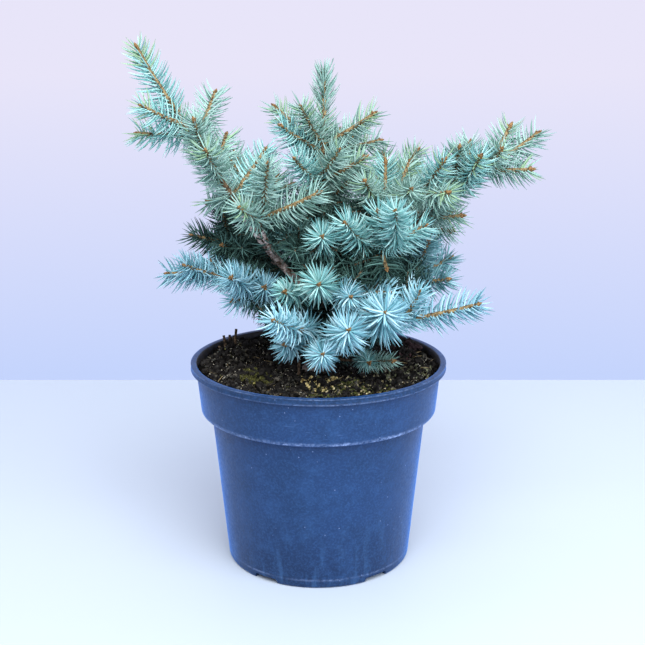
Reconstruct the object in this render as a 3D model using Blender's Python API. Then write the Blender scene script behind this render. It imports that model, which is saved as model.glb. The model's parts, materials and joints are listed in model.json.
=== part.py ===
# Potted globosa blue spruce: a young dwarf spruce, wider than high, in a round nursery pot.
# +X is right, +Y away from the front, +Z up. The origin is the centre of the pot's underside.
import math
import random
from collections import namedtuple

import bmesh
import bpy
import numpy as np

# Driving dimensions, in metres and degrees.
GAP = 0.0003  # between one solid and the next

POT_HEIGHT = 0.153
POT_WALL = 0.0016
POT_SEGMENTS = 36
RIM_RADIUS = 0.095
RIM_DEPTH = 0.0085  # the rolled lip, top to bottom
RIM_ROUND = 0.0014  # radius that the lip's edges are taken off by
RIM_FLAT = 0.0024  # level top of the lip
COLLAR_BOTTOM = 0.116  # height of the step under the collar
COLLAR_RADIUS = 0.0868  # at the step
COLLAR_TOP_RADIUS = 0.0909  # under the lip
BODY_TOP_RADIUS = 0.0803
FOOT_RADIUS = 0.0682
FOOT_WIDTH = 0.0047
FOOT_ROUND = (0.0011, 0.0025)  # out and up, at the foot's outer edge
STEP_ROUND = (0.0010, 0.0015)  # out and up, at the collar's lower edge
CHANNEL_RADII = (0.045, 0.061)  # the hollow ring under the pot
CHANNEL_HEIGHT = 0.0038
DISC_RADIUS = 0.042  # the flat middle of the underside
HOLES = 5
HOLE_RADIUS = 0.004
HOLE_SIDES = 10
ARCH_WIDTH = 0.026
ARCH_HEIGHT = 0.0035
ARCH_STEPS = 4
PAST = 0.001  # how far a cutter runs past the face it cuts
FIRST_ARCH = -44  # heading of one arch, the others at even turns

SOIL_LEVEL = 0.144
SOIL_BUMP = 0.0013
SOIL_FLAT = 0.018  # radius of the level patch that the trunk stands on
SOIL_BLEND = 0.020  # width over which the unevenness grows
SOIL_RINGS = (0.066, 0.040)

TRUNK_LENGTH = 0.160
TRUNK_HEADING = 85
TRUNK_RISE = (85, 76)
TRUNK_RADII = (0.0075, 0.0026)
FLARE_RADIUS = 0.005  # added at the soil
FLARE_HEIGHT = 0.006
TRUNK_SIDES = 10
TRUNK_STEPS = 14
BOUGH_SIDES = 6
BOUGH_STEPS = 5

STEM_RADII = (0.0021, 0.0013)
SHOOT_RADII = (0.0013, 0.0009)
SHOOT_LIFT = 4  # a shoot's rise is this much lower at its foot and higher at its tip
STEM_TURN = 0.4  # share of a stem's length in which it takes its own heading
NEEDLE_LENGTH = 0.018
NEEDLE_LEAN = 52  # from the shoot's axis
NEEDLE_ROW = 0.0064  # length of shoot that one row of needles covers
NEEDLE_TRIES = (1.0, 0.8, 0.6)  # shares of the full length, tried in turn
NEEDLE_TESTS = (0.3, 0.55, 0.8, 1.0)  # shares of a needle at which its room is tested
BARE_ROWS = 1  # at the foot of each stem and shoot
CORE_SIDES = 3
NEEDLE_ROOM = 0.0017  # kept free on the border with another mass or a limb
TWIST = 43  # from one row to the next
TIP_NEEDLE = 0.011  # the needles round the end bud
FILL_CLEAR = 0.0105  # between a filling shoot's axis and any other
LOWEST = 0.149  # needles stay above the soil
RIM_INSIDE = 0.080  # and outside this radius
RIM_CLEAR = 0.1552  # they stay above the rim
ASIDE = (0.31, 0.72, 0.62)  # a direction that no limb sets out along

# A limb leaves its parent at a share of the parent's length. Heading 0 is right and -90 is
# to the front; the rise is from level, and grows by the curl from the limb's foot to its tip.
Limb = namedtuple("Limb", "name parent share heading rise curl length radii")
LIMBS = (
    Limb("bough_left", "trunk", 0.33, -153, 50, 20, 0.103, (0.0042, 0.0026)),
    Limb("bough_left_front", "bough_left", 0.42, -119, 48, 15, 0.039, (0.0026, 0.0022)),
    Limb("bough_right", "trunk", 0.40, 0, 33, 20, 0.083, (0.0036, 0.0023)),
    Limb("bough_right_middle", "trunk", 0.50, -13, 41, 15, 0.060, (0.0030, 0.0022)),
    Limb("bough_right_front", "trunk", 0.31, -39, 43, 20, 0.066, (0.0031, 0.0022)),
    Limb("bough_right_back", "trunk", 0.45, 32, 27, 20, 0.065, (0.0030, 0.0022)),
    Limb("bough_low_left", "trunk", 0.22, -157, 32, 15, 0.047, (0.0029, 0.0022)),
    Limb("bough_left_back", "trunk", 0.40, 157, 22, 15, 0.048, (0.0028, 0.0022)),
    Limb("bough_front_low_left", "trunk", 0.18, -97, 18, 15, 0.045, (0.0027, 0.0022)),
    Limb("bough_front", "trunk", 0.07, -78, 26, 15, 0.049, (0.0028, 0.0022)),
    Limb("bough_front_right", "trunk", 0.12, -45, 25, 15, 0.054, (0.0029, 0.0022)),
    Limb("bough_low_right", "trunk", 0.24, 1, 24, 15, 0.055, (0.0029, 0.0022)),
    Limb("bough_back_left", "trunk", 0.46, 135, 33, 20, 0.060, (0.0030, 0.0022)),
    Limb("bough_back_right", "trunk", 0.57, 52, 26, 20, 0.061, (0.0028, 0.0022)),
    Limb("bough_back", "trunk", 0.34, 91, 26, 20, 0.060, (0.0030, 0.0022)),
    Limb("bough_back_low_left", "trunk", 0.19, 134, 27, 15, 0.057, (0.0029, 0.0022)),
    Limb("bough_back_low_right", "trunk", 0.22, 48, 20, 15, 0.060, (0.0029, 0.0022)),
)

# A mass grows from one stem, which goes on from its limb's tip (share 1) or leaves its side.
# The stem, the leader at its end and the shoots along it are given as heading, rise and
# length, a shoot with its share of the stem first. The fill is how many more a rule adds.
Mass = namedtuple("Mass", "name limb share stem leader shoots fill")
MASSES = (
    Mass("foliage_left", "bough_left", 1, (148, 51, 0.074), (180, 59, 0.051), (
        (0.85, -150, 25, 0.035), (0.75, 165, 0, 0.040), (0.70, 65, 45, 0.042),
        (0.45, -110, 55, 0.035), (0.35, 80, 30, 0.040), (0.25, -105, 40, 0.034),
        (0.05, 50, 40, 0.046), (0.05, 135, -15, 0.028)), 1),
    Mass("foliage_left_front", "bough_left_front", 1, (-60, 70, 0.022), (-77, 58, 0.033), (
        (0.45, -20, 25, 0.046), (0.35, -115, 25, 0.032)), 1),
    Mass("foliage_top", "trunk", 1, (70, 78, 0.028), (90, 84, 0.030), (
        (0.25, -130, 50, 0.036), (0.20, 155, 35, 0.046), (0.05, -145, 30, 0.040),
        (0.20, -10, 32, 0.044), (0.05, 20, 8, 0.046)), 2),
    Mass("foliage_top_front", "trunk", 0.75, (-95, 60, 0.028), (-45, 47, 0.029), (
        (0.80, -130, 38, 0.033), (0.85, -15, 30, 0.038), (0.10, -13, 42, 0.040)), 1),
    Mass("foliage_centre", "trunk", 0.44, (-86, 44, 0.043), (-90, 19, 0.038), (
        (0.55, -145, 35, 0.033), (0.65, -35, 30, 0.032)), 3),
    Mass("foliage_right", "bough_right", 1, (-3, 38, 0.069), (16, 31, 0.041), (
        (0.95, 40, 50, 0.036), (0.90, -65, 38, 0.028), (0.60, -72, 39, 0.042),
        (0.92, -12, 2, 0.032), (0.50, -84, 60, 0.040), (0.10, -5, 4, 0.028)), 3),
    Mass("foliage_right_middle", "bough_right_middle", 1, (-16, 25, 0.035), (-53, 47, 0.031), (
        (0.05, -115, 37, 0.041), (0.30, -75, 22, 0.044), (0.10, 85, 70, 0.033),
        (0.20, 57, 42, 0.040), (0.85, -60, 8, 0.038)), 0),
    Mass("foliage_right_front", "bough_right_front", 1, (-52, 18, 0.028), (-96, 40, 0.041), (
        (0.05, -122, 34, 0.046), (0.35, -82, -25, 0.026), (0.65, 4, 26, 0.028)), 1),
    Mass("foliage_right_back", "bough_right_back", 1, (36, 14, 0.042), (43, 24, 0.042), (
        (0.20, -22, -6, 0.046),), 3),
    Mass("foliage_low_left", "bough_low_left", 1, (175, 16, 0.048), (176, -2, 0.028), (
        (0.90, -134, 23, 0.027), (0.20, -111, 22, 0.045), (0.05, -88, 22, 0.030),
        (0.15, -135, -8, 0.025)), 1),
    Mass("foliage_left_back", "bough_left_back", 1, (180, 19, 0.028), (-167, 13, 0.028), (), 3),
    Mass("foliage_front_low_left", "bough_front_low_left", 1, (-107, 9, 0.024), (-128, 24, 0.032), (
        (0.35, -142, 55, 0.036), (0.60, -71, 54, 0.046), (0.20, -145, -28, 0.033)), 1),
    Mass("foliage_front", "bough_front", 1, (-70, 26, 0.024), (-82, 22, 0.033), (
        (0.85, -116, -4, 0.037), (0.90, -66, 64, 0.035)), 1),
    Mass("foliage_front_right", "bough_front_right", 1, (-27, 13, 0.041), (-11, 16, 0.043), (
        (0.30, -89, 23, 0.048), (0.30, -77, 57, 0.030), (0.75, -17, 62, 0.022)), 1),
    Mass("foliage_low_right", "bough_low_right", 1, (16, 20, 0.024), (22, 22, 0.029), (
        (0.40, -38, 12, 0.042),), 2),
    Mass("foliage_foot_right", "trunk", 0.06, (-24, 9, 0.038), (-29, 6, 0.033), (
        (0.90, -81, 7, 0.032),), 1),
    Mass("foliage_back_left", "bough_back_left", 1, (116, 27, 0.053), (112, 28, 0.034), (), 6),
    Mass("foliage_back_right", "bough_back_right", 1, (56, 8, 0.055), (62, 10, 0.033), (), 6),
    Mass("foliage_back", "bough_back", 1, (82, 19, 0.042), (86, 28, 0.034), (), 5),
    Mass("foliage_back_low_left", "bough_back_low_left", 1, (131, 8, 0.042), (135, 18, 0.033), (), 5),
    Mass("foliage_back_low_right", "bough_back_low_right", 1, (40, 14, 0.044), (46, 18, 0.032), (), 5),
    Mass("foliage_back_top", "trunk", 0.80, (76, 30, 0.055), (84, 24, 0.036), (), 5),
)

# A fill rule: ranges of a filling shoot's side turn, change of rise and length.
FILL_TURN = (40, 75)
FILL_RISE = (-18, 45)
FILL_LENGTH = (0.027, 0.036)
FILL_SHARE = (0.15, 0.95)  # of the stem, where it may leave
FILL_TRIES = 60

POT_COLOUR = "#3c5a8f"
SOIL_COLOUR = "#2c2b22"
BARK_COLOUR = "#6a6560"
NEEDLE_COLOUR = "#95b8b6"


# Growing: the axes of the trunk, the boughs, the stems and the shoots

def pointing(heading, rise):
    h, r = math.radians(heading), math.radians(rise)
    return np.array((math.cos(r) * math.cos(h), math.cos(r) * math.sin(h), math.sin(r)))


def grown(start, first, last, length, steps, turned_by=1.0):
    # points of an axis that sets out along first and goes on along last, (heading, rise) each
    turn = (last[0] - first[0] + 180) % 360 - 180
    points = [np.array(start, dtype=float)]
    for i in range(steps):
        t = min(1.0, (i + 0.5) / steps / turned_by)
        way = pointing(first[0] + turn * t, first[1] + (last[1] - first[1]) * t)
        points.append(points[-1] + way * (length / steps))
    return np.array(points)


def along(points, share):
    place = share * (len(points) - 1)
    i = min(int(place), len(points) - 2)
    return points[i] + (points[i + 1] - points[i]) * (place - i)


def tapered(radii, count):
    return np.linspace(radii[0], radii[1], count)


# One piece of wood: its node, its axis with a radius at each point, the way it sets out
# (for a flat foot that meets its parent's tip), and whether it carries needles
Wood = namedtuple("Wood", "node points radii way needles")


def grow_limbs():
    rise = TRUNK_RISE
    points = grown((0, 0, SOIL_LEVEL + GAP), (TRUNK_HEADING, rise[0]), (TRUNK_HEADING, rise[1]),
                   TRUNK_LENGTH, TRUNK_STEPS)
    height = np.linspace(0, TRUNK_LENGTH, TRUNK_STEPS + 1)
    radii = tapered(TRUNK_RADII, TRUNK_STEPS + 1) + FLARE_RADIUS * np.exp(-height / FLARE_HEIGHT)
    limbs = {"trunk": Wood("trunk", points, radii, (0, 90), False)}
    ends = {"trunk": (TRUNK_HEADING, rise[1])}
    for limb in LIMBS:
        start = along(limbs[limb.parent].points, limb.share)
        first = (limb.heading, limb.rise - limb.curl / 2)
        ends[limb.name] = (limb.heading, limb.rise + limb.curl / 2)
        points = grown(start, first, ends[limb.name], limb.length, BOUGH_STEPS)
        limbs[limb.name] = Wood(limb.name, points, tapered(limb.radii, BOUGH_STEPS + 1), first, False)
    return limbs, ends


def grow_stem(mass, limbs, ends):
    heading, rise, length = mass.stem
    steps = round(length / NEEDLE_ROW)
    start = along(limbs[mass.limb].points, mass.share)
    first = ends[mass.limb] if mass.share == 1 else (heading, rise)
    if mass.share == 1:
        start = start + pointing(*first) * GAP
    points = grown(start, first, (heading, rise), length, steps, STEM_TURN)
    return Wood(mass.name, points, tapered(STEM_RADII, steps + 1), first, True)


def grow_shoot(mass, start, heading, rise, length):
    steps = round(length / NEEDLE_ROW)
    first, last = (heading, rise - SHOOT_LIFT), (heading, rise + SHOOT_LIFT)
    points = grown(start, first, last, length, steps)
    return Wood(mass.name, points, tapered(SHOOT_RADII, steps + 1), first, True)


def gaps_between(points, wood):
    # distances from each point to each stretch of the axis, less its radius
    a, b = wood.points[:-1], wood.points[1:]
    run = b - a
    from_a = points[:, None, :] - a[None]
    t = np.clip((from_a * run).sum(2) / (run * run).sum(1), 0, 1)
    apart = np.linalg.norm(from_a - t[..., None] * run, axis=2)
    return apart - wood.radii[:-1]


def over_ground(points):
    low = np.where(np.hypot(points[:, 0], points[:, 1]) > RIM_INSIDE, RIM_CLEAR, LOWEST)
    return bool((points[:, 2] > low).all())


def fill_shoot(mass, stem, woods, rng, side):
    # one more shoot in the mass's own space, or nothing where there is no room
    heading, rise, _ = mass.stem
    for _ in range(FILL_TRIES):
        start = along(stem.points, rng.uniform(*FILL_SHARE))
        turn = side * rng.uniform(*FILL_TURN)
        shoot = grow_shoot(mass, start, heading + turn, rise + rng.uniform(*FILL_RISE),
                           rng.uniform(*FILL_LENGTH))
        outer = shoot.points[2:]
        clear = min(gaps_between(outer, wood).min() for wood in woods if wood is not stem)
        if clear > FILL_CLEAR and over_ground(outer - (0, 0, FILL_CLEAR)):
            return shoot
        side = -side
    return None


def grow_masses(limbs, ends):
    woods = list(limbs.values())
    stems = {}
    for mass in MASSES:
        stems[mass.name] = grow_stem(mass, limbs, ends)
    woods += stems.values()
    for mass in MASSES:
        stem = stems[mass.name]
        woods.append(grow_shoot(mass, stem.points[-1], *mass.leader))
        for share, heading, rise, length in mass.shoots:
            woods.append(grow_shoot(mass, along(stem.points, share), heading, rise, length))
    for number, mass in enumerate(MASSES):
        rng = random.Random(number + 1)
        for count in range(mass.fill):
            side = 1 if count % 2 else -1
            shoot = fill_shoot(mass, stems[mass.name], woods, rng, side)
            if shoot:
                woods.append(shoot)
    return stems, woods


# Needles: each stands out of one side of its shoot and keeps to the mass's own space

def has_room(samples, own, woods):
    # every sample lies nearer to its own shoot than to any other wood
    if not over_ground(samples):
        return False
    here = gaps_between(samples, own).min(1)
    for wood in woods:
        if wood is own:
            continue
        apart = gaps_between(samples, wood).min(1)
        if not wood.needles:
            limit = NEEDLE_ROOM
        elif wood.node != own.node:
            limit = here + NEEDLE_ROOM
        else:
            limit = here + GAP
        if (apart < limit).any():
            return False
    return True


def needle_tip(root, way, own, woods):
    for share in NEEDLE_TRIES:
        reach = way * (NEEDLE_LENGTH * share)
        samples = root + np.outer(NEEDLE_TESTS, reach)
        if has_room(samples, own, woods):
            return root + reach
    return None


# Meshes

def frames(points, way):
    # across and up vectors at each point, carried along without twist
    ways = np.diff(points, axis=0)
    ways = np.vstack((ways[:1], ways[:-1] + ways[1:], ways[-1:]))
    ways[0] = pointing(*way)
    ways /= np.linalg.norm(ways, axis=1)[:, None]
    across = np.cross(ways[0], ASIDE)
    result = []
    for direction in ways:
        across = across - direction * (across @ direction)
        across = across / np.linalg.norm(across)
        result.append((direction, across, np.cross(direction, across)))
    return result


def tube(wood, sides, twist=0.0):
    # rings of vertices along the axis
    rings = []
    for i, (direction, across, up) in enumerate(frames(wood.points, wood.way)):
        angles = np.arange(sides) * 2 * math.pi / sides + math.radians(twist) * i
        circle = np.outer(np.cos(angles), across) + np.outer(np.sin(angles), up)
        rings.append(wood.points[i] + circle * wood.radii[i])
    return rings


def tube_mesh(name, rings):
    mesh = bmesh.new()
    loops = [[mesh.verts.new(point) for point in ring] for ring in rings]
    for low, high in zip(loops, loops[1:]):
        for j in range(len(low)):
            k = (j + 1) % len(low)
            mesh.faces.new((low[j], low[k], high[k], high[j]))
    mesh.faces.new(loops[0][::-1])
    mesh.faces.new(loops[-1])
    bmesh.ops.triangulate(mesh, faces=mesh.faces[:])
    return finished(name, mesh)


def spray_mesh(wood, woods):
    # a slim core with a needle poked out of each side of each row
    mesh = bmesh.new()
    rings = tube(wood, CORE_SIDES, TWIST)
    loops = [[mesh.verts.new(point) for point in ring] for ring in rings]
    lean = math.radians(NEEDLE_LEAN)
    for i, (low, high) in enumerate(zip(loops, loops[1:])):
        forward = wood.points[i + 1] - wood.points[i]
        forward /= np.linalg.norm(forward)
        middle = (wood.points[i] + wood.points[i + 1]) / 2
        for j in range(CORE_SIDES):
            k = (j + 1) % CORE_SIDES
            corners = (low[j], low[k], high[k], high[j])
            root = np.mean([corner.co[:] for corner in corners], axis=0)
            outward = root - middle
            outward -= forward * (outward @ forward)
            outward /= np.linalg.norm(outward)
            way = forward * math.cos(lean) + outward * math.sin(lean)
            tip = None if i < BARE_ROWS else needle_tip(root, way, wood, woods)
            if tip is None:
                mesh.faces.new(corners[:3])
                mesh.faces.new((corners[0], corners[2], corners[3]))
                continue
            point = mesh.verts.new(tip)
            for near, far in zip(corners, corners[1:] + corners[:1]):
                mesh.faces.new((near, far, point))
    mesh.faces.new(loops[0][::-1])
    end = wood.points[-1] + forward * TIP_NEEDLE
    if has_room(end[None], wood, woods):
        point = mesh.verts.new(end)
        for near, far in zip(loops[-1], loops[-1][1:] + loops[-1][:1]):
            mesh.faces.new((near, far, point))
    else:
        mesh.faces.new(loops[-1])
    return finished(wood.node, mesh)


def finished(name, mesh):
    bmesh.ops.recalc_face_normals(mesh, faces=mesh.faces[:])
    data = bpy.data.meshes.new(name)
    mesh.to_mesh(data)
    mesh.free()
    thing = bpy.data.objects.new(name, data)
    bpy.context.scene.collection.objects.link(thing)
    return thing


def joined_with(thing, others, operation, solver):
    # one Boolean on a collection, applied; the collection's objects are then removed
    group = bpy.data.collections.new(thing.name + "_parts")
    bpy.context.scene.collection.children.link(group)
    for other in others:
        bpy.context.scene.collection.objects.unlink(other)
        group.objects.link(other)
    step = thing.modifiers.new(operation.lower(), "BOOLEAN")
    step.operation = operation
    step.operand_type = "COLLECTION"
    step.collection = group
    step.solver = solver
    shaped = thing.evaluated_get(bpy.context.evaluated_depsgraph_get())
    data = bpy.data.meshes.new_from_object(shaped)
    thing.modifiers.clear()
    thing.data = data
    for other in others:
        bpy.data.objects.remove(other)
    bpy.data.collections.remove(group)


def largest_body(thing):
    # drops any loose scrap and fills any hollow that the union left
    mesh = bmesh.new()
    mesh.from_mesh(thing.data)
    left = set(mesh.verts)
    bodies = []
    while left:
        body, edge = set(), [left.pop()]
        while edge:
            vertex = edge.pop()
            body.add(vertex)
            for link in vertex.link_edges:
                other = link.other_vert(vertex)
                if other in left:
                    left.remove(other)
                    edge.append(other)
        bodies.append(body)
    bodies.sort(key=len)
    for body in bodies[:-1]:
        bmesh.ops.delete(mesh, geom=list(body), context="VERTS")
    mesh.to_mesh(thing.data)
    mesh.free()


# The pot and the soil

def pot_inside():
    # the inner outline, from the middle of the floor to the rim, as (radius, height)
    slope = (BODY_TOP_RADIUS - FOOT_RADIUS) / COLLAR_BOTTOM
    floor = CHANNEL_HEIGHT + POT_WALL
    return [
        (DISC_RADIUS - 0.0005, POT_WALL),
        (CHANNEL_RADII[0] - POT_WALL, floor),
        (FOOT_RADIUS + slope * floor - POT_WALL, floor),
        (BODY_TOP_RADIUS - POT_WALL, COLLAR_BOTTOM + 0.001),
        (COLLAR_RADIUS - POT_WALL, COLLAR_BOTTOM + 0.0025),
        (COLLAR_TOP_RADIUS - POT_WALL, POT_HEIGHT - RIM_DEPTH),
    ]


def turned(name, outline, segments):
    # an outline of (radius, height), turned about Z; a radius of 0 is a single vertex
    mesh = bmesh.new()
    rings = []
    for radius, height in outline:
        if radius == 0:
            rings.append([mesh.verts.new((0, 0, height))])
            continue
        angles = [2 * math.pi * k / segments for k in range(segments)]
        rings.append([mesh.verts.new((radius * math.cos(a), radius * math.sin(a), height))
                      for a in angles])
    for low, high in zip(rings, rings[1:]):
        for j in range(segments):
            k = (j + 1) % segments
            if len(low) == 1:
                mesh.faces.new((low[0], high[k], high[j]))
            elif len(high) == 1:
                mesh.faces.new((low[j], low[k], high[0]))
            else:
                mesh.faces.new((low[j], low[k], high[k], high[j]))
    return finished(name, mesh)


def drilled(name, at, radius, low, high):
    cutter = turned(name, [(0, low), (radius, low), (radius, high), (0, high)], HOLE_SIDES)
    cutter.location = (at[0], at[1], 0)
    return cutter


def arch(name, heading):
    # a low arch through the foot, open into the channel
    half, rise = ARCH_WIDTH / 2, ARCH_HEIGHT
    radius = (half * half + rise * rise) / (2 * rise)
    reach = math.asin(half / radius)
    outline = [(-half, -PAST), (half, -PAST)]
    for k in range(ARCH_STEPS + 1):
        angle = reach * (1 - 2 * k / ARCH_STEPS)
        outline.append((radius * math.sin(angle), rise - radius + radius * math.cos(angle)))
    mesh = bmesh.new()
    inner, outer = CHANNEL_RADII[1] - FOOT_WIDTH, FOOT_RADIUS + FOOT_WIDTH
    near = [mesh.verts.new((inner, y, z)) for y, z in outline]
    far = [mesh.verts.new((outer, y, z)) for y, z in outline]
    mesh.faces.new(near[::-1])
    mesh.faces.new(far)
    for j in range(len(near)):
        k = (j + 1) % len(near)
        mesh.faces.new((near[j], near[k], far[k], far[j]))
    cutter = finished(name, mesh)
    cutter.rotation_euler.z = math.radians(heading)
    return cutter


def make_pot():
    rim_low = POT_HEIGHT - RIM_DEPTH
    under = [(0, 0), (DISC_RADIUS, 0), (CHANNEL_RADII[0], CHANNEL_HEIGHT),
             (CHANNEL_RADII[1], CHANNEL_HEIGHT), (FOOT_RADIUS - FOOT_WIDTH, 0), (FOOT_RADIUS, 0)]
    side = [(FOOT_RADIUS + FOOT_ROUND[0], FOOT_ROUND[1]), (BODY_TOP_RADIUS, COLLAR_BOTTOM),
            (COLLAR_RADIUS, COLLAR_BOTTOM),
            (COLLAR_RADIUS + STEP_ROUND[0], COLLAR_BOTTOM + STEP_ROUND[1]),
            (COLLAR_TOP_RADIUS, rim_low)]
    top_edge = RIM_RADIUS - RIM_ROUND
    lip = [(top_edge, rim_low + GAP), (RIM_RADIUS, rim_low + RIM_ROUND),
           (RIM_RADIUS, POT_HEIGHT - 2 * RIM_ROUND), (top_edge, POT_HEIGHT),
           (top_edge - RIM_FLAT, POT_HEIGHT), (top_edge - RIM_FLAT - RIM_ROUND, POT_HEIGHT - RIM_ROUND)]
    inside = pot_inside()[::-1] + [(0, POT_WALL)]
    pot = turned("pot", under + side + lip + inside, POT_SEGMENTS)
    cutters = []
    for k in range(HOLES):
        heading = FIRST_ARCH + 360 / HOLES * k
        cutters.append(arch(f"arch_{k}", heading))
        between = math.radians(heading + 180 / HOLES)
        middle = sum(CHANNEL_RADII) / 2
        at = (middle * math.cos(between), middle * math.sin(between))
        top = CHANNEL_HEIGHT + POT_WALL + PAST
        cutters.append(drilled(f"hole_{k}", at, HOLE_RADIUS, -PAST, top))
    joined_with(pot, cutters, "DIFFERENCE", "EXACT")
    return pot


def soil_height(x, y):
    # level where the trunk stands, gently uneven elsewhere
    away = max(0.0, min(1.0, (math.hypot(x, y) - SOIL_FLAT) / SOIL_BLEND))
    waves = math.sin(x * 91 + 1.3) + math.sin(y * 117 + x * 43) + math.sin(y * 63 - x * 149 + 2.1)
    return SOIL_LEVEL + SOIL_BUMP * away * waves


def make_soil():
    wall = [(radius - GAP, height + GAP) for radius, height in pot_inside()]
    (r0, z0), (r1, z1) = wall[-2], wall[-1]
    mesh = bmesh.new()
    rings = []
    edge = r0 + (r1 - r0) * (SOIL_LEVEL - z0) / (z1 - z0) - SOIL_BUMP / 2
    outline = wall[:-1] + [(edge, None)] + [(radius, None) for radius in SOIL_RINGS + (SOIL_FLAT,)]
    for radius, height in outline:
        ring = []
        for k in range(POT_SEGMENTS):
            angle = 2 * math.pi * k / POT_SEGMENTS
            x, y = radius * math.cos(angle), radius * math.sin(angle)
            ring.append(mesh.verts.new((x, y, soil_height(x, y) if height is None else height)))
        rings.append(ring)
    for low, high in zip(rings, rings[1:]):
        for j in range(POT_SEGMENTS):
            k = (j + 1) % POT_SEGMENTS
            mesh.faces.new((low[j], low[k], high[k], high[j]))
    mesh.faces.new(rings[0][::-1])
    mesh.faces.new(rings[-1])
    bmesh.ops.triangulate(mesh, faces=mesh.faces[:])
    return finished("soil", mesh)


# The plant

def limb_mesh(wood, margin=0.0):
    # the margin makes a cutter that leaves whatever grows from the limb's side clear of it
    sides = TRUNK_SIDES if wood.node == "trunk" else BOUGH_SIDES
    return tube_mesh(wood.node, tube(wood._replace(radii=wood.radii + margin), sides))


def make_bough(wood, parent):
    thing = limb_mesh(wood)
    joined_with(thing, [limb_mesh(parent, GAP)], "DIFFERENCE", "EXACT")
    return thing


def make_mass(mass, limbs, stem, woods):
    own = [wood for wood in woods if wood.node == mass.name and wood is not stem]
    thing = spray_mesh(stem, woods)
    joined_with(thing, [spray_mesh(wood, woods) for wood in own], "UNION", "MANIFOLD")
    if mass.share < 1:
        joined_with(thing, [limb_mesh(limbs[mass.limb], GAP)], "DIFFERENCE", "MANIFOLD")
    largest_body(thing)
    return thing


def linear(colour):
    channels = [int(colour[k:k + 2], 16) / 255 for k in (1, 3, 5)]
    return [c / 12.92 if c <= 0.04045 else ((c + 0.055) / 1.055) ** 2.4 for c in channels]


def material(name, colour, roughness):
    finish = bpy.data.materials.new(name)
    finish.use_nodes = True
    shader = finish.node_tree.nodes["Principled BSDF"]
    shader.inputs["Base Color"].default_value = (*linear(colour), 1)
    shader.inputs["Roughness"].default_value = roughness
    shader.inputs["Metallic"].default_value = 0
    return finish


def clear_scene():
    for thing in list(bpy.data.objects):
        bpy.data.objects.remove(thing)


def main():
    clear_scene()
    plastic = material("pot plastic", POT_COLOUR, 0.55)
    earth = material("potting soil", SOIL_COLOUR, 0.95)
    bark = material("spruce bark", BARK_COLOUR, 0.9)
    needle = material("blue needles", NEEDLE_COLOUR, 0.6)
    make_pot().data.materials.append(plastic)
    make_soil().data.materials.append(earth)
    limbs, ends = grow_limbs()
    stems, woods = grow_masses(limbs, ends)
    for limb in LIMBS:
        make_bough(limbs[limb.name], limbs[limb.parent]).data.materials.append(bark)
    limb_mesh(limbs["trunk"]).data.materials.append(bark)
    for mass in MASSES:
        thing = make_mass(mass, limbs, stems[mass.name], woods)
        thing.data.materials.clear()
        thing.data.materials.append(needle)


main()
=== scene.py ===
# Potted globosa blue spruce: the looks of the plant and its pot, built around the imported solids.
# Metres and degrees. +X is right, +Y away from the front, +Z up, and the pot stands on Z = 0.
import json
import math
import random
from collections import namedtuple
from functools import partial

import bmesh
import bpy
import numpy as np
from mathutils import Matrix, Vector, noise

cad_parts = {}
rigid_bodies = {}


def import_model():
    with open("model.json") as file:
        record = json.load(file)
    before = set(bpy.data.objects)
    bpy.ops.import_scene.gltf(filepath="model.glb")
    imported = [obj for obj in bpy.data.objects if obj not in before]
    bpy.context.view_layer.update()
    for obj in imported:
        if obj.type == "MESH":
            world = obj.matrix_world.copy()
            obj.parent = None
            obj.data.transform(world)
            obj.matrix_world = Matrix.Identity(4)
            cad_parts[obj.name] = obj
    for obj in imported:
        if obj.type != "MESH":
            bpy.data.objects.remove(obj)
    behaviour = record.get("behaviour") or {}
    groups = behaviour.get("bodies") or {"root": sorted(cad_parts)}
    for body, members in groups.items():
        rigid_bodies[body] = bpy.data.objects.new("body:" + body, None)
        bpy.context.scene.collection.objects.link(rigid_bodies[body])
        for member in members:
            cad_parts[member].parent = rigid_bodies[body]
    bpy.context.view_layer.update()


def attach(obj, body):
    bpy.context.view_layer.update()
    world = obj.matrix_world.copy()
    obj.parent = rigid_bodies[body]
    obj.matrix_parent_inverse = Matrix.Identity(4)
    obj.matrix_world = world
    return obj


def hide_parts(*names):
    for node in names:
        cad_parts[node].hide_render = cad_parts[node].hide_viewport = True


for thing in list(bpy.data.objects):
    bpy.data.objects.remove(thing)
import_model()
scene = bpy.context.scene


# Helpers

def toLinear(hexColour):
    channels = [int(hexColour[k:k + 2], 16) / 255 for k in (1, 3, 5)]
    return (*[c / 12.92 if c <= 0.04045 else ((c + 0.055) / 1.055) ** 2.4 for c in channels], 1)


def feed(tree, node, inputs):
    # inputs go by name or number, or in their own order. Each is a value, a hex colour, a socket, or a
    # node that stands for its first output in use, and a pair under From or To is a range.
    for key, source in enumerate(inputs) if isinstance(inputs, tuple) else inputs.items():
        if key in ("From", "To"):
            feed(tree, node, {key + " Min": source[0], key + " Max": source[1]})
            continue
        if isinstance(source, bpy.types.Node):
            source = next(socket for socket in source.outputs if socket.enabled)
        if isinstance(source, bpy.types.NodeSocket):
            tree.links.new(source, node.inputs[key])
        elif isinstance(source, str) and source.startswith("#"):
            node.inputs[key].default_value = toLinear(source)
        else:
            node.inputs[key].default_value = source
    return node


def addNode(tree, kind, inputs=(), operation=None, **settings):
    # a kind is a node's type without GeometryNode, FunctionNode or ShaderNode before it
    types = (first + kind for first in ("GeometryNode", "FunctionNode", "ShaderNode", ""))
    node = tree.nodes.new(next(name for name in types if hasattr(bpy.types, name)))
    for name, value in settings.items():
        setattr(node, name, value)
    if operation:
        node.operation = operation
    return feed(tree, node, inputs)


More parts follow.
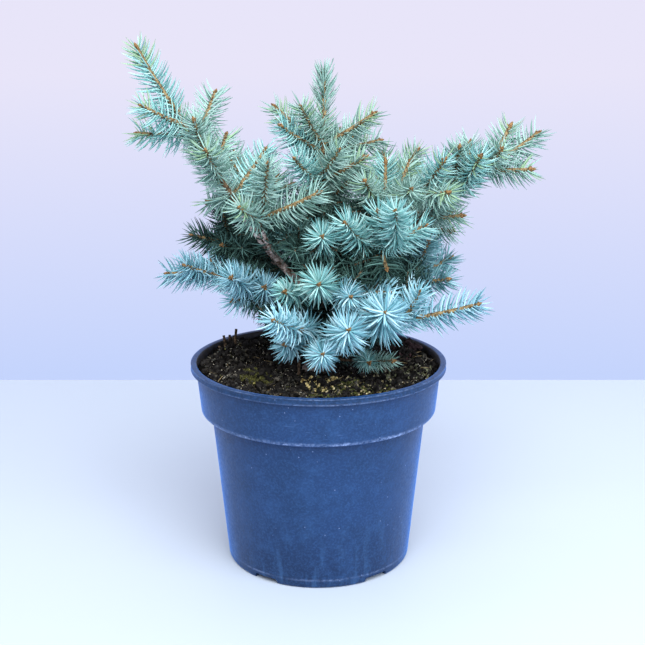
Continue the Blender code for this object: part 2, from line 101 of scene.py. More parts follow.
def newFinish(name, colour, roughness, others=None):
    # a Principled finish; what is the same all over goes on the shader's own sockets
    finish = bpy.data.materials.new(name)
    finish.use_nodes = True
    feed(finish.node_tree, finish.node_tree.nodes["Principled BSDF"],
         {"Base Color": colour, "Roughness": roughness, **(others or {})})
    return finish


def patterned(name, colour, roughness, others=None):
    # a finish, and what its pattern needs: a way to add nodes, a way to feed the shader, and the place
    finish = newFinish(name, colour, roughness, others)
    tree = finish.node_tree
    add = partial(addNode, tree)
    shade = partial(feed, tree, tree.nodes["Principled BSDF"])
    return finish, add, shade, add("TexCoord").outputs["Object"]


def newTree(name, sizes, **others):
    # a Geometry Nodes tree with one input for the shape and one for each named size
    tree = bpy.data.node_groups.new(name, "GeometryNodeTree")
    tree.interface.new_socket("Geometry", in_out="OUTPUT", socket_type="NodeSocketGeometry")
    for label, kind in {"Geometry": "Geometry", **dict.fromkeys(sizes, "Float"), **others}.items():
        tree.interface.new_socket(label, in_out="INPUT", socket_type="NodeSocket" + kind)
    return tree, partial(addNode, tree), tree.nodes.new("NodeGroupInput").outputs


def closeTree(tree, shape, finish):
    # copies become real and take their material
    shape = addNode(tree, "RealizeInstances", {"Geometry": shape})
    shape = addNode(tree, "SetMaterial", {"Geometry": shape, "Material": finish})
    addNode(tree, "NodeGroupOutput", {"Geometry": shape})
    return tree


def smoothCurve(add, chain, step):
    # a smooth curve through a chain of edges, with a point at every step
    curve = add("MeshToCurve", {"Mesh": chain})
    curve = add("CurveSplineType", {"Curve": curve}, spline_type="CATMULL_ROM")
    return add("ResampleCurve", {"Curve": curve, "Length": step}, mode="LENGTH")


def tubeAlong(add, curve, sides, radius):
    ring = add("CurvePrimitiveCircle", {"Resolution": sides, "Radius": 1.0}).outputs["Curve"]
    return add("CurveToMesh", {"Curve": curve, "Profile Curve": ring, "Scale": radius, "Fill Caps": True})


def keepShape(thing):
    # the object keeps what its modifiers make, as its own plain mesh
    data = bpy.data.meshes.new_from_object(thing.evaluated_get(bpy.context.evaluated_depsgraph_get()))
    thing.modifiers.clear()
    thing.data = data
    return thing


def grownBy(thing, tree, sizes):
    # runs the tree on the object; sizes may hold more than the tree asks for
    step = thing.modifiers.new(tree.name, "NODES")
    step.node_group = tree
    for item in tree.interface.items_tree:
        if item.in_out == "INPUT" and item.name in sizes:
            step[item.identifier] = sizes[item.name]
    return keepShape(thing)


def newObject(name, data):
    thing = bpy.data.objects.new(name, data)
    scene.collection.objects.link(thing)
    return thing


def fromBmesh(name, mesh, smooth=True):
    bmesh.ops.recalc_face_normals(mesh, faces=mesh.faces[:])
    for face in mesh.faces:
        face.smooth = smooth
    data = bpy.data.meshes.new(name)
    mesh.to_mesh(data)
    mesh.free()
    return newObject(name, data)


def turnsOf(count):
    return [2 * math.pi * k / count for k in range(count)]


def ringOf(mesh, r, z, count):
    # corners round the middle, or the middle alone
    if r < 1e-6:
        return [mesh.verts.new((0, 0, z))]
    return [mesh.verts.new((r * math.cos(a), r * math.sin(a), z)) for a in turnsOf(count)]


def skinOver(mesh, rings):
    # faces from each ring of corners to the next; a ring of one corner is a pole
    for low, high in zip(rings, rings[1:]):
        count = max(len(low), len(high))
        for j in range(count):
            k = (j + 1) % count
            if len(low) == 1:
                mesh.faces.new((low[0], high[k], high[j]))
            elif len(high) == 1:
                mesh.faces.new((low[j], low[k], high[0]))
            else:
                mesh.faces.new((low[j], low[k], high[k], high[j]))


def finishPiece(piece, slot, *nodes):
    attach(piece, "root")
    if nodes:
        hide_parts(*nodes)
    print(piece.name, len(piece.data.polygons), "faces")


# Stage

view = {"place": (0.003, -0.820, 0.402), "down": 15.1, "lens": 64.02, "sensor": 36}
stage = {
    "floor": "#a6b4c2", "floorHalf": 3.0, "floorBack": 0.42,
    "airHigh": "#e8e5f9", "airLow": "#c4d4fd", "airBand": (-0.30, -0.05),  # two tones and where they meet
}
lamps = {  # place, what it aims at, size, power and colour
    "key": ((0.10, -1.15, 1.48), (0, 0, 0.22), 1.6, 64, "#fffbf6"),
    "fill": ((1.1, -0.9, 0.75), (0, 0, 0.2), 1.1, 14, "#eaf1ff"),
    "top": ((0.1, 0.35, 1.5), (0, 0, 0.2), 1.0, 5, "#f4f2ff"),
}


def makeStage():
    camera = newObject("camera", bpy.data.cameras.new("camera"))
    camera.location = view["place"]
    camera.rotation_euler = (math.radians(90 - view["down"]), 0, 0)
    camera.data.lens = view["lens"]
    camera.data.sensor_width = view["sensor"]
    scene.camera = camera
    scene.view_settings.view_transform = "Standard"
    half, back = stage["floorHalf"], stage["floorBack"]
    mesh = bmesh.new()
    corners = ((-half, -half), (half, -half), (half, back), (-half, back))
    mesh.faces.new([mesh.verts.new((x, y, 0)) for x, y in corners])
    floor = fromBmesh("floor", mesh, smooth=False)
    # emulsion paint, rolled on board: matt, with a faint sheen at a low angle
    floor.data.materials.append(newFinish("painted board", stage["floor"], 0.6))
    scene.world = bpy.data.worlds.new("studio")
    scene.world.use_nodes = True
    air = scene.world.node_tree
    way = addNode(air, "SeparateXYZ", (addNode(air, "TexCoord").outputs["Generated"],))
    rise = addNode(air, "MapRange", {"Value": way.outputs["Z"], "From": stage["airBand"]})
    glow = addNode(air, "Mix", {0: rise, 6: stage["airLow"], 7: stage["airHigh"]}, data_type="RGBA")
    feed(air, air.nodes["Background"], {"Color": glow})
    for name, (place, aim, size, power, colour) in lamps.items():
        lamp = newObject(name, bpy.data.lights.new(name, "AREA"))
        lamp.location = place
        lamp.rotation_euler = (Vector(aim) - Vector(place)).to_track_quat("-Z", "Y").to_euler()
        lamp.data.size = size
        lamp.data.energy = power
        lamp.data.color = toLinear(colour)[:3]
    print("stage: camera, floor and", len(lamps), "lamps")


# Pot

pot = {
    "height": 0.153, "wall": 0.0016, "segments": 192,
    "rim": 0.095, "rimDepth": 0.0046, "collarBottom": 0.116, "collarTop": 0.0909, "collar": 0.0877,
    "bodyTop": 0.0803, "foot": 0.0691, "footInner": 0.0635, "ridge": 0.0005, "groove": 0.0004,
    "channel": (0.045, 0.061), "channelHeight": 0.0044, "disc": 0.042, "lip": 0.0045,
    "roundSteps": 4, "roundMost": 0.45,  # the share of a side that a rounding may take
    "holes": 5, "holeRadius": 0.004, "holeSides": 24, "cut": (-0.001, 0.009), "sharp": 35,
    "firstArch": -52, "archWidth": 0.020, "archHeight": 0.0038, "archRound": 0.0022, "archSteps": 4,
    "archCut": (0.057, 0.0751),  # the radii that an arch's cutter spans
}


def rounded(corners):
    # an outline of (radius, height, rounding) corners, each rounding drawn as a short arc
    points = []
    for i, (r, z, bend) in enumerate(corners):
        here = np.array((r, z))
        if bend == 0 or i in (0, len(corners) - 1):
            points.append(here)
            continue
        ends = []
        for other in (corners[i - 1], corners[i + 1]):
            run = np.array(other[:2]) - here
            ends.append(here + run * min(pot["roundMost"], bend / np.linalg.norm(run)))
        for k in range(pot["roundSteps"] + 1):
            t = k / pot["roundSteps"]
            points.append((1 - t) ** 2 * ends[0] + 2 * t * (1 - t) * here + t * t * ends[1])
    return points


def turned(name, outline, segments):
    mesh = bmesh.new()
    skinOver(mesh, [ringOf(mesh, r, z, segments) for r, z in outline])
    return fromBmesh(name, mesh)


def potInner():
    # corners of the inner wall from the lip down to the middle of the floor
    wall, floor = pot["wall"], pot["channelHeight"] + pot["wall"]
    slope = (pot["bodyTop"] - pot["foot"]) / pot["collarBottom"]
    return [
        (pot["collarTop"] - wall, pot["height"] - pot["rimDepth"], 0.001),
        (pot["collar"] - wall, pot["collarBottom"] + 0.0025, 0.001),
        (pot["bodyTop"] - wall, pot["collarBottom"] + 0.001, 0.0008),
        (pot["foot"] + slope * floor - wall, floor, 0.0015),
        (pot["channel"][0] - wall, floor, 0.001),
        (pot["disc"] - 0.0005, wall, 0.001),
        (0, wall, 0),
    ]


def cutWith(thing, cutters):
    group = bpy.data.collections.new("cutters")
    scene.collection.children.link(group)
    for cutter in cutters:
        scene.collection.objects.unlink(cutter)
        group.objects.link(cutter)
    step = thing.modifiers.new("cut", "BOOLEAN")
    step.operation, step.operand_type, step.solver = "DIFFERENCE", "COLLECTION", "EXACT"
    step.collection = group
    keepShape(thing)
    for cutter in cutters:
        bpy.data.objects.remove(cutter)
    bpy.data.collections.remove(group)


def makeArch(heading):
    # a low notch with round corners through the foot, from outside into the hollow ring
    half, rise, bend, steps = pot["archWidth"] / 2, pot["archHeight"], pot["archRound"], pot["archSteps"]
    outline = [(-half, pot["cut"][0]), (half, pot["cut"][0])]
    for side, first in ((1, 0), (-1, 90)):
        for k in range(steps + 1):
            angle = math.radians(first + 90 / steps * k)
            y, z = side * (half - bend) + bend * math.cos(angle), rise - bend + bend * math.sin(angle)
            outline.append((y, z))
    mesh = bmesh.new()
    near, far = ([mesh.verts.new((x, y, z)) for y, z in outline] for x in pot["archCut"])
    mesh.faces.new(near[::-1])
    mesh.faces.new(far)
    skinOver(mesh, [near, far])
    cutter = fromBmesh("arch", mesh)
    cutter.rotation_euler.z = math.radians(heading)
    return cutter


def potFinish():
    # Polypropylene, injection moulded: a satin skin, a bluish haze where it is seen edge-on, and pale
    # scuffs where edges rub, which on the lip's ridges are also a painted highlight.
    finish, add, shade, place = patterned("moulded polypropylene", "#1d3866", 0.4, {
        "IOR": 1.49, "Specular IOR Level": 0.25, "Sheen Weight": 0.7, "Sheen Roughness": 0.3,
        "Sheen Tint": "#2f84ee"})
    height = add("SeparateXYZ", (place,)).outputs["Z"]

    def cloudy(size, low, high, most, stretch=(1, 1, 1)):
        # noise of one size in metres, cut to a range and scaled; stretch draws it out along an axis
        spread = add("Mapping", {"Vector": place, "Scale": stretch})
        cloud = add("TexNoise", {"Vector": spread, "Scale": 1 / size, "Detail": 5.0, "Roughness": 0.62})
        return add("MapRange", {"Value": cloud, "From": (low, high), "To": (0.0, most)})

    step, top = pot["collarBottom"], pot["height"]
    rimLow = top - pot["rimDepth"]
    # painted shade: the pot is painted darker towards the foot; the streaks of water use this mask too
    foot = add("MapRange", {"Value": height, "From": (0.0, 0.06), "To": (0.8, 0.0)})
    onCollar, onRim = (add("Math", (height, line), "GREATER_THAN")
                       for line in (step, rimLow - 0.0002))
    worn = cloudy(0.0022, 0.38, 0.62, 1.0)
    edges = 0.0  # edges that rub, with a painted highlight on the lip's ridges: the height of each, how far its pale band reaches and how strong it is
    for line, half, most in ((step + 0.0012, 0.0022, 0.8), (top - 0.0005, 0.0006, 0.3), (rimLow, 0.0007, 0.4),
                             (0.0065, 0.0012, 0.35)):
        off = add("Math", (height, -line), "ADD")
        off = add("Math", (off,), "ABSOLUTE")
        near = add("MapRange", {"Value": off, "From": (0.0, half), "To": (most, 0.0)})
        edges = add("Math", (near, edges), "ADD")
    specks = add("TexVoronoi", {"Vector": place, "Scale": 1 / 0.008})
    specks = add("Math", (specks, 0.05), "LESS_THAN")
    blue = "#112d51"
    for factors, colour in (  # each tone lies where the product of its factors is high
            ((cloudy(0.03, 0.3, 0.7, 1.0),), "#16335c"),
            # painted shade, darker towards the foot
            ((foot,), "#0a1f3e"),
            ((onRim, 0.8), "#0a2340"),
            ((cloudy(0.0016, 0.45, 0.75, 0.45),), "#2c5385"),  # the moulded grain, coarser than life
            ((cloudy(0.012, 0.50, 0.72, 0.28),), "#2a5081"),  # dried splashes
            ((cloudy(0.006, 0.5, 0.75, 0.7, (1, 1, 0.16)), foot), "#37608f"),  # streaks of water
            ((cloudy(0.010, 0.63, 0.68, 0.22, (1, 1, 14)), onCollar), "#5a7db0"),  # scratches
            ((worn, edges, cloudy(0.018, 0.30, 0.62, 1.0)), "#8ea6d3"),  # scuffs, and a painted highlight on the lip's ridges
            ((specks, 0.55), "#8399c4")):  # dust
        share = factors[0]
        for factor in factors[1:]:
            share = add("Math", (share, factor), "MULTIPLY")
        blue = add("Mix", {0: share, 6: blue, 7: colour}, data_type="RGBA")
    rough = add("MapRange", {"Value": worn, "To": (0.34, 0.46)})
    # the moulded skin is finer than this in life, and drawn as coarse as it needs to show
    skin = add("TexNoise", {"Vector": place, "Scale": 1 / 0.0009, "Detail": 2.0})
    bump = add("Bump", {"Height": skin, "Strength": 0.08, "Distance": 0.0005})
    shade({"Base Color": blue, "Roughness": rough, "Normal": bump})
    return finish


def filmFinish(name, dark, light, grain, change, detail, roughness, others):
    # two tones in soft clouds, one passing into the other over a range of the noise
    finish, add, shade, place = patterned(name, light, roughness, others)
    cloud = add("TexNoise", {"Vector": place, "Scale": 1 / grain, "Detail": detail})
    cloud = add("MapRange", {"Value": cloud, "From": change})
    shade({"Base Color": add("Mix", {0: cloud, 6: dark, 7: light}, data_type="RGBA")})
    return finish


def makePot():
    top, rim = pot["height"], pot["rim"]
    rimLow, ridge, groove = top - pot["rimDepth"], pot["ridge"], pot["groove"]
    outer = [
        (0, 0, 0), (pot["disc"], 0, 0.001), (pot["channel"][0], pot["channelHeight"], 0.001),
        (pot["channel"][1], pot["channelHeight"], 0.001), (pot["footInner"], 0, 0.0006),
        (pot["foot"], 0, 0.0022), (pot["bodyTop"], pot["collarBottom"], 0.0008),
        (pot["collar"], pot["collarBottom"], 0.0016), (pot["collarTop"], rimLow, 0.0006),
        (rim - ridge, rimLow - ridge, 0.0004), (rim, rimLow, 0.0003),
        (rim - groove, rimLow + 2 * ridge, 0.0003), (rim - groove, top - 3 * ridge, 0.0003),
        (rim, top - ridge, 0.0003), (rim - 2 * ridge, top, 0.0004), (rim - pot["lip"], top, 0.0016),
    ]
    thing = turned("nursery_pot", rounded(outer + potInner()), pot["segments"])
    low, high = pot["cut"]
    middle, radius = sum(pot["channel"]) / 2, pot["holeRadius"]
    cutters = []
    for k in range(pot["holes"]):
        heading = pot["firstArch"] + 360 / pot["holes"] * k
        cutters.append(makeArch(heading))
        between = math.radians(heading + 180 / pot["holes"])
        hole = turned("hole", [(0, low), (radius, low), (radius, high), (0, high)], pot["holeSides"])
        hole.location = (middle * math.cos(between), middle * math.sin(between), 0)
        cutters.append(hole)
    cutWith(thing, cutters)
    # flat faces stay flat and sharp edges stay sharp
    thing.data.set_sharp_from_angle(angle=math.radians(pot["sharp"]))
    thing.data.materials.clear()
    thing.data.materials.append(potFinish())
    # the same polypropylene inside, painted near black in soft clouds as painted shade in the pot's hollow
    thing.data.materials.append(filmFinish(
        "soil-stained polypropylene", "#060708", "#111b30", 0.006, (0.45, 0.7), 5.0, 0.6, {"IOR": 1.49}))
    for face in thing.data.polygons:
        inward = face.center.x * face.normal.x + face.center.y * face.normal.y < 0
        face.material_index = int(inward and pot["collarBottom"] < face.center.z < top - ridge)
    finishPiece(thing, "pot_plastic", "pot")


# Compost

compost = {
    "level": 0.144, "wave": 0.0013, "flat": 0.018, "blend": 0.020,
    "lump": 0.0048, "lumpSize": 0.009, "grain": 0.0024, "grainSize": 0.0038, "lumpAtTrunk": 0.25,
    "heap": 0.0032, "heapFrom": 0.050, "heapWidth": 0.034, "rings": 105, "segments": 288, "clear": 0.0002,
    "mounds": (  # place, radius and rise
        (-0.046, -0.028, 0.0080, 0.0042), (-0.011, -0.031, 0.0050, 0.0020), (0.028, -0.058, 0.0100, 0.0014)),
}


def compostHeight(x, y):
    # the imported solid's gentle waves, with lumps that fade out round the trunk
    out, least = math.hypot(x, y), compost["lumpAtTrunk"]
    away = max(0.0, min(1.0, (out - compost["flat"]) / compost["blend"]))
    waves = math.sin(x * 91 + 1.3) + math.sin(y * 117 + x * 43) + math.sin(y * 63 - x * 149 + 2.1)
    lumps = noise.fractal(Vector((x, y, 0)) / compost["lumpSize"], 0.6, 2.1, 4) * compost["lump"]
    lumps += noise.noise(Vector((x, y, 3)) / compost["grainSize"]) * compost["grain"]
    heaped = max(0.0, min(1.0, (out - compost["heapFrom"]) / compost["heapWidth"])) ** 2
    bare = compost["level"] + compost["wave"] * away * waves + heaped * compost["heap"]
    bare += sum(rise * math.exp(-((x - mx) ** 2 + (y - my) ** 2) / radius ** 2)
                for mx, my, radius, rise in compost["mounds"])
    return bare + lumps * (least + (1 - least) * away)


def wallRadius(z):
    (r1, z1, _), (r0, z0, _) = potInner()[:2]
    return r0 + (r1 - r0) * (z - z0) / (z1 - z0) - compost["clear"]


def compostFinish():
    # Peat and bark compost, damp: near black, browner on the crests, matt. The colours are darkened further
    # as painted shade, darkest in the hollows of the bump.
    finish, add, shade, place = patterned("damp peat compost", "#1d1a15", 1.0, {"Specular IOR Level": 0.05})
    grit = add("TexNoise", {"Vector": place, "Scale": 1 / 0.0022, "Detail": 7.0, "Roughness": 0.8})
    # painted shade: the noise that raises the bump sets the tone, near black in its hollows and browner on
    # its crests
    tones = add("ValToRGB", {"Fac": grit})
    ramp = tones.color_ramp.elements
    ramp.new(0.58)
    for element, position, colour in zip(ramp, (0.42, 0.58, 0.72), ("#040404", "#0e0d0b", "#45433c")):
        element.position, element.color = position, toLinear(colour)
    bump = add("Bump", {"Height": grit, "Strength": 1.0, "Distance": 0.0016})
    shade({"Base Color": tones, "Normal": bump})
    return finish


def makeCompost():
    mesh = bmesh.new()
    count, clear = compost["segments"], compost["clear"]
    rings = [ringOf(mesh, r - clear, z + clear, count) for r, z, _ in potInner()[-2:0:-1]]
    edge = wallRadius(compost["level"])
    for i in range(compost["rings"]):
        ring = []
        for a in turnsOf(count):
            r = edge * (1 - i / compost["rings"])
            z = compostHeight(r * math.cos(a), r * math.sin(a))
            if i == 0:
                r = wallRadius(z)
            ring.append(mesh.verts.new((r * math.cos(a), r * math.sin(a), z)))
        rings.append(ring)
    rings.append([mesh.verts.new((0, 0, compostHeight(0, 0)))])
    skinOver(mesh, rings)
    mesh.faces.new(rings[0][::-1])
    thing = fromBmesh("compost", mesh)
    thing.data.materials.append(compostFinish())
    return thing


# Litter

def lumpShape(seed, flatness=1.0, detail=1, rough=0.35):
    # a ball of unit size, pushed in and out by noise and flattened
    mesh = bmesh.new()
    bmesh.ops.create_icosphere(mesh, subdivisions=detail, radius=1.0)
    for vertex in mesh.verts:
        push = 1 + rough * noise.noise(vertex.co * 1.7 + Vector((seed, 0, 0)))
        vertex.co = Vector((vertex.co.x, vertex.co.y * 0.8, vertex.co.z * flatness)) * push
    return fromBmesh("lump", mesh, smooth=False)


def strandShape(width, bend, sides=3, steps=4):
    # a thin curved strand of unit length that lies along X
    mesh = bmesh.new()
    rings = []
    for i in range(steps + 1):
        t = i / steps
        thick = width * (1 - 0.75 * abs(2 * t - 1) ** 3)
        centre = Vector((t - 0.5, bend * (4 * t * (1 - t) - 0.5), 0.06 * math.sin(5 * t)))
        rings.append([mesh.verts.new(centre + Vector((0, math.cos(a), math.sin(a))) * thick)
                      for a in turnsOf(sides)])
    skinOver(mesh, rings)
    mesh.faces.new(rings[0][::-1])
    mesh.faces.new(rings[-1])
    return fromBmesh("strand", mesh)


def mossShape(leaves):
    # a tuft of pointed leaflets that lean out round a middle, in shares of its height
    mesh = bmesh.new()
    for k in range(leaves):
        a = k * 2.4
        lean = 0.25 + 0.65 * (k / leaves)
        out = Vector((math.cos(a), math.sin(a), 0))
        side = Vector((-math.sin(a), math.cos(a), 0)) * 0.13
        foot, tip = out * 0.08, out * lean + Vector((0, 0, 1.05 - 0.6 * lean))
        middle = foot.lerp(tip, 0.45) + Vector((0, 0, 0.10))
        back = middle - out * 0.05 - Vector((0, 0, 0.07))
        spots = (foot, middle + side, middle - side, tip, back)
        base, left, right, end, low = (mesh.verts.new(spot) for spot in spots)
        for face in ((base, right, left), (left, right, end), (base, left, low), (left, end, low),
                     (end, right, low), (right, base, low)):
            mesh.faces.new(face)
    return fromBmesh("tuft", mesh, smooth=False)


# What lies on the compost. Each kind is one small shape, scattered by one tree round its own place:
# the shape, its two colours, how many, the sizes, how deep it sits, how far it tips, how patchy it is,
# where and how wide, and the grain of its colours.
Litter = namedtuple("Litter", "shape dark light count size sink tilt patch place radius grain",
                    defaults=(3.1, 0.0, (0.0, 0.0), 0.085, 0.0026))
litter = {
    "clods": Litter((lumpShape, 4, 0.8, 1, 0.9), "#050505", "#242322", 1100, (0.0014, 0.0036), 0.1),
    "crumbs": Litter((lumpShape, 3, 0.9, 1, 0.6), "#070707", "#3a3b37", 3000, (0.0005, 0.0015), -0.1),
    "bark_bits": Litter((lumpShape, 8, 0.4, 1, 0.8), "#161615", "#55534b", 620, (0.0009, 0.0026), -0.1),
    "red_bits": Litter((lumpShape, 6, 0.6, 1, 0.8), "#1a1213", "#4c393a", 160, (0.0009, 0.0022), 0.0,
                       place=(0.052, 0.046), radius=0.030),
    "red_lumps": Litter((lumpShape, 7, 0.8, 2, 0.9), "#0f0b0b", "#32272a", 9, (0.0022, 0.0036), -0.6,
                        place=(0.072, 0.039), radius=0.007),
    "pale_bits": Litter((lumpShape, 5, 0.8), "#66645a", "#b4b2a5", 1200, (0.0004, 0.0008), -0.5),
    "grit": Litter((lumpShape, 2, 0.85, 2, 0.3), "#5a4b29", "#d6c68a", 190, (0.0007, 0.0013), -0.4,
                   place=(0.001, -0.043), radius=0.013),
    "stray_grit": Litter((lumpShape, 11, 0.85, 1, 0.5), "#524732", "#d0c59b", 380, (0.0005, 0.0011), -0.4,
                         place=(0.032, -0.049), radius=0.031),
    "lichen": Litter((lumpShape, 9, 0.7, 1, 0.8), "#191b13", "#6c7058", 260, (0.0007, 0.0016), -0.4,
                     place=(0.062, -0.022), radius=0.021),
    "pellets": Litter((lumpShape, 1, 1.0, 2, 0.05), "#a89f60", "#cfc57e", 12, (0.0011, 0.0015), -0.5),
    "fibres": Litter((strandShape, 0.016, 0.22), "#2b261e", "#6b614d", 420, (0.004, 0.011), -0.04, 0.5),
    "fallen_needles": Litter((strandShape, 0.028, 0.07, 4), "#4d432f", "#8c7e5e", 60, (0.010, 0.015),
                             -0.04, 0.25),
    "threads": Litter((strandShape, 0.026, 0.35, 3, 5), "#35332c", "#94917f", 800, (0.0020, 0.0050),
                      -0.15, 1.3),
    "moss_left": Litter((mossShape, 7), "#11120b", "#66683b", 700, (0.0008, 0.0019), -0.3, 1.2, 0.34,
                        (-0.045, -0.029), 0.012, 0.0012),
    "moss_front": Litter((mossShape, 7), "#14180b", "#676f3b", 1000, (0.0008, 0.0019), -0.3, 1.2, 0.38,
                         (0.022, -0.062), 0.031, 0.0012),
    "moss_thin": Litter((mossShape, 7), "#14160a", "#484b26", 620, (0.0009, 0.0020), -0.1, 0.8, 0.55,
                        grain=0.0012),
}
scatter = {"limit": 0.0855, "depth": 0.006, "patchSize": 0.011}  # out to this radius, down to this depth


def litterTree():
    # points on the top of the compost, each with a turned and sized copy of one shape
    tree, add, given = newTree(
        "litter", ("density", "least", "most", "tilt", "sink", "patch", "radius", "x", "y"), seed="Int",
        shape="Object", finish="Material")
    points = add("DistributePointsOnFaces", {
        "Mesh": given["Geometry"], "Density": given["density"], "Seed": given["seed"]})
    place = add("InputPosition")
    xyz = add("SeparateXYZ", (place,)).outputs
    flat = add("CombineXYZ", (xyz["X"], xyz["Y"]))
    out = add("VectorMath", (flat,), "LENGTH").outputs["Value"]
    centre = add("CombineXYZ", (given["x"], given["y"]))
    off = add("VectorMath", (flat, centre), "DISTANCE").outputs["Value"]
    cloud = add("TexNoise", {"Vector": place, "Scale": 1 / scatter["patchSize"], "Detail": 3.0})
    here = True
    for more, less in ((scatter["limit"], out), (given["radius"], off),
                       (xyz["Z"], compost["level"] - scatter["depth"]), (cloud, given["patch"])):
        test = add("Compare", (more, less))
        here = add("BooleanMath", (here, test), "AND")
    minus = add("Math", (given["tilt"], -1.0), "MULTIPLY")
    least = add("CombineXYZ", (minus, minus))
    most = add("CombineXYZ", (given["tilt"], given["tilt"], 2 * math.pi))
    turn = add("RandomValue", {0: least, 1: most, "Seed": 5}, data_type="FLOAT_VECTOR")
    size = add("RandomValue", {2: given["least"], 3: given["most"], "Seed": 6})
    shape = add("ObjectInfo", {"Object": given["shape"]}).outputs["Geometry"]
    copies = add("InstanceOnPoints", {
        "Points": points, "Selection": here, "Instance": shape, "Rotation": turn, "Scale": size})
    down = add("Math", (size, given["sink"]), "MULTIPLY")
    down = add("Math", (down, -1.0), "MULTIPLY")
    sunk = add("TranslateInstances", {
        "Instances": copies, "Translation": add("CombineXYZ", {"Z": down}), "Local Space": False})
    return closeTree(tree, sunk, given["finish"])


def makeLitter(soil):
    tree = litterTree()
    for number, (name, kind) in enumerate(litter.items()):
        # damp scraps of peat, bark, moss or stone: matt, and no two of quite one colour
        finish = filmFinish(name.replace("_", " "), kind.dark, kind.light, kind.grain, (0.36, 0.64), 3.0,
                            0.95, {"Specular IOR Level": 0.08})
        make, *sizes = kind.shape
        shape = make(*sizes)
        piece = grownBy(newObject(name, soil.data.copy()), tree, dict(
            kind._asdict(), density=kind.count / (math.pi * kind.radius ** 2) / (1 - kind.patch),
            least=kind.size[0], most=kind.size[1], x=kind.place[0], y=kind.place[1], seed=number,
            shape=shape, finish=finish))
        bpy.data.objects.remove(shape)
        finishPiece(piece, "potting_soil")


# Growth: the same rule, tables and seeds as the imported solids

growth = {
    "gap": 0.0003, "soil": 0.144, "trunkLength": 0.160, "trunkHeading": 85, "trunkRise": (85, 76),
    "trunkRadii": (0.0075, 0.0026), "flareRadius": 0.005, "flareHeight": 0.006, "trunkSteps": 14,
    "boughSteps": 5, "stemRadii": (0.0021, 0.0013), "shootRadii": (0.0013, 0.0009), "shootLift": 4,
    "stemTurn": 0.4, "row": 0.0064, "lowest": 0.149, "rimInside": 0.080, "rimClear": 0.1552,
    "fillTurn": (40, 75), "fillRise": (-18, 45), "fillLength": (0.027, 0.036), "fillShare": (0.15, 0.95),
    "fillClear": 0.0105, "fillTries": 60,
}

# parent, share of its length, heading, rise, curl, length and radii of each bough
boughs = {
    "bough_left": ("trunk", 0.33, -153, 50, 20, 0.103, (0.0042, 0.0026)),
    "bough_left_front": ("bough_left", 0.42, -119, 48, 15, 0.039, (0.0026, 0.0022)),
    "bough_right": ("trunk", 0.40, 0, 33, 20, 0.083, (0.0036, 0.0023)),
    "bough_right_middle": ("trunk", 0.50, -13, 41, 15, 0.060, (0.0030, 0.0022)),
    "bough_right_front": ("trunk", 0.31, -39, 43, 20, 0.066, (0.0031, 0.0022)),
    "bough_right_back": ("trunk", 0.45, 32, 27, 20, 0.065, (0.0030, 0.0022)),
    "bough_low_left": ("trunk", 0.22, -157, 32, 15, 0.047, (0.0029, 0.0022)),
    "bough_left_back": ("trunk", 0.40, 157, 22, 15, 0.048, (0.0028, 0.0022)),
    "bough_front_low_left": ("trunk", 0.18, -97, 18, 15, 0.045, (0.0027, 0.0022)),
    "bough_front": ("trunk", 0.07, -78, 26, 15, 0.049, (0.0028, 0.0022)),
    "bough_front_right": ("trunk", 0.12, -45, 25, 15, 0.054, (0.0029, 0.0022)),
    "bough_low_right": ("trunk", 0.24, 1, 24, 15, 0.055, (0.0029, 0.0022)),
    "bough_back_left": ("trunk", 0.46, 135, 33, 20, 0.060, (0.0030, 0.0022)),
    "bough_back_right": ("trunk", 0.57, 52, 26, 20, 0.061, (0.0028, 0.0022)),
    "bough_back": ("trunk", 0.34, 91, 26, 20, 0.060, (0.0030, 0.0022)),
    "bough_back_low_left": ("trunk", 0.19, 134, 27, 15, 0.057, (0.0029, 0.0022)),
    "bough_back_low_right": ("trunk", 0.22, 48, 20, 15, 0.060, (0.0029, 0.0022)),
}

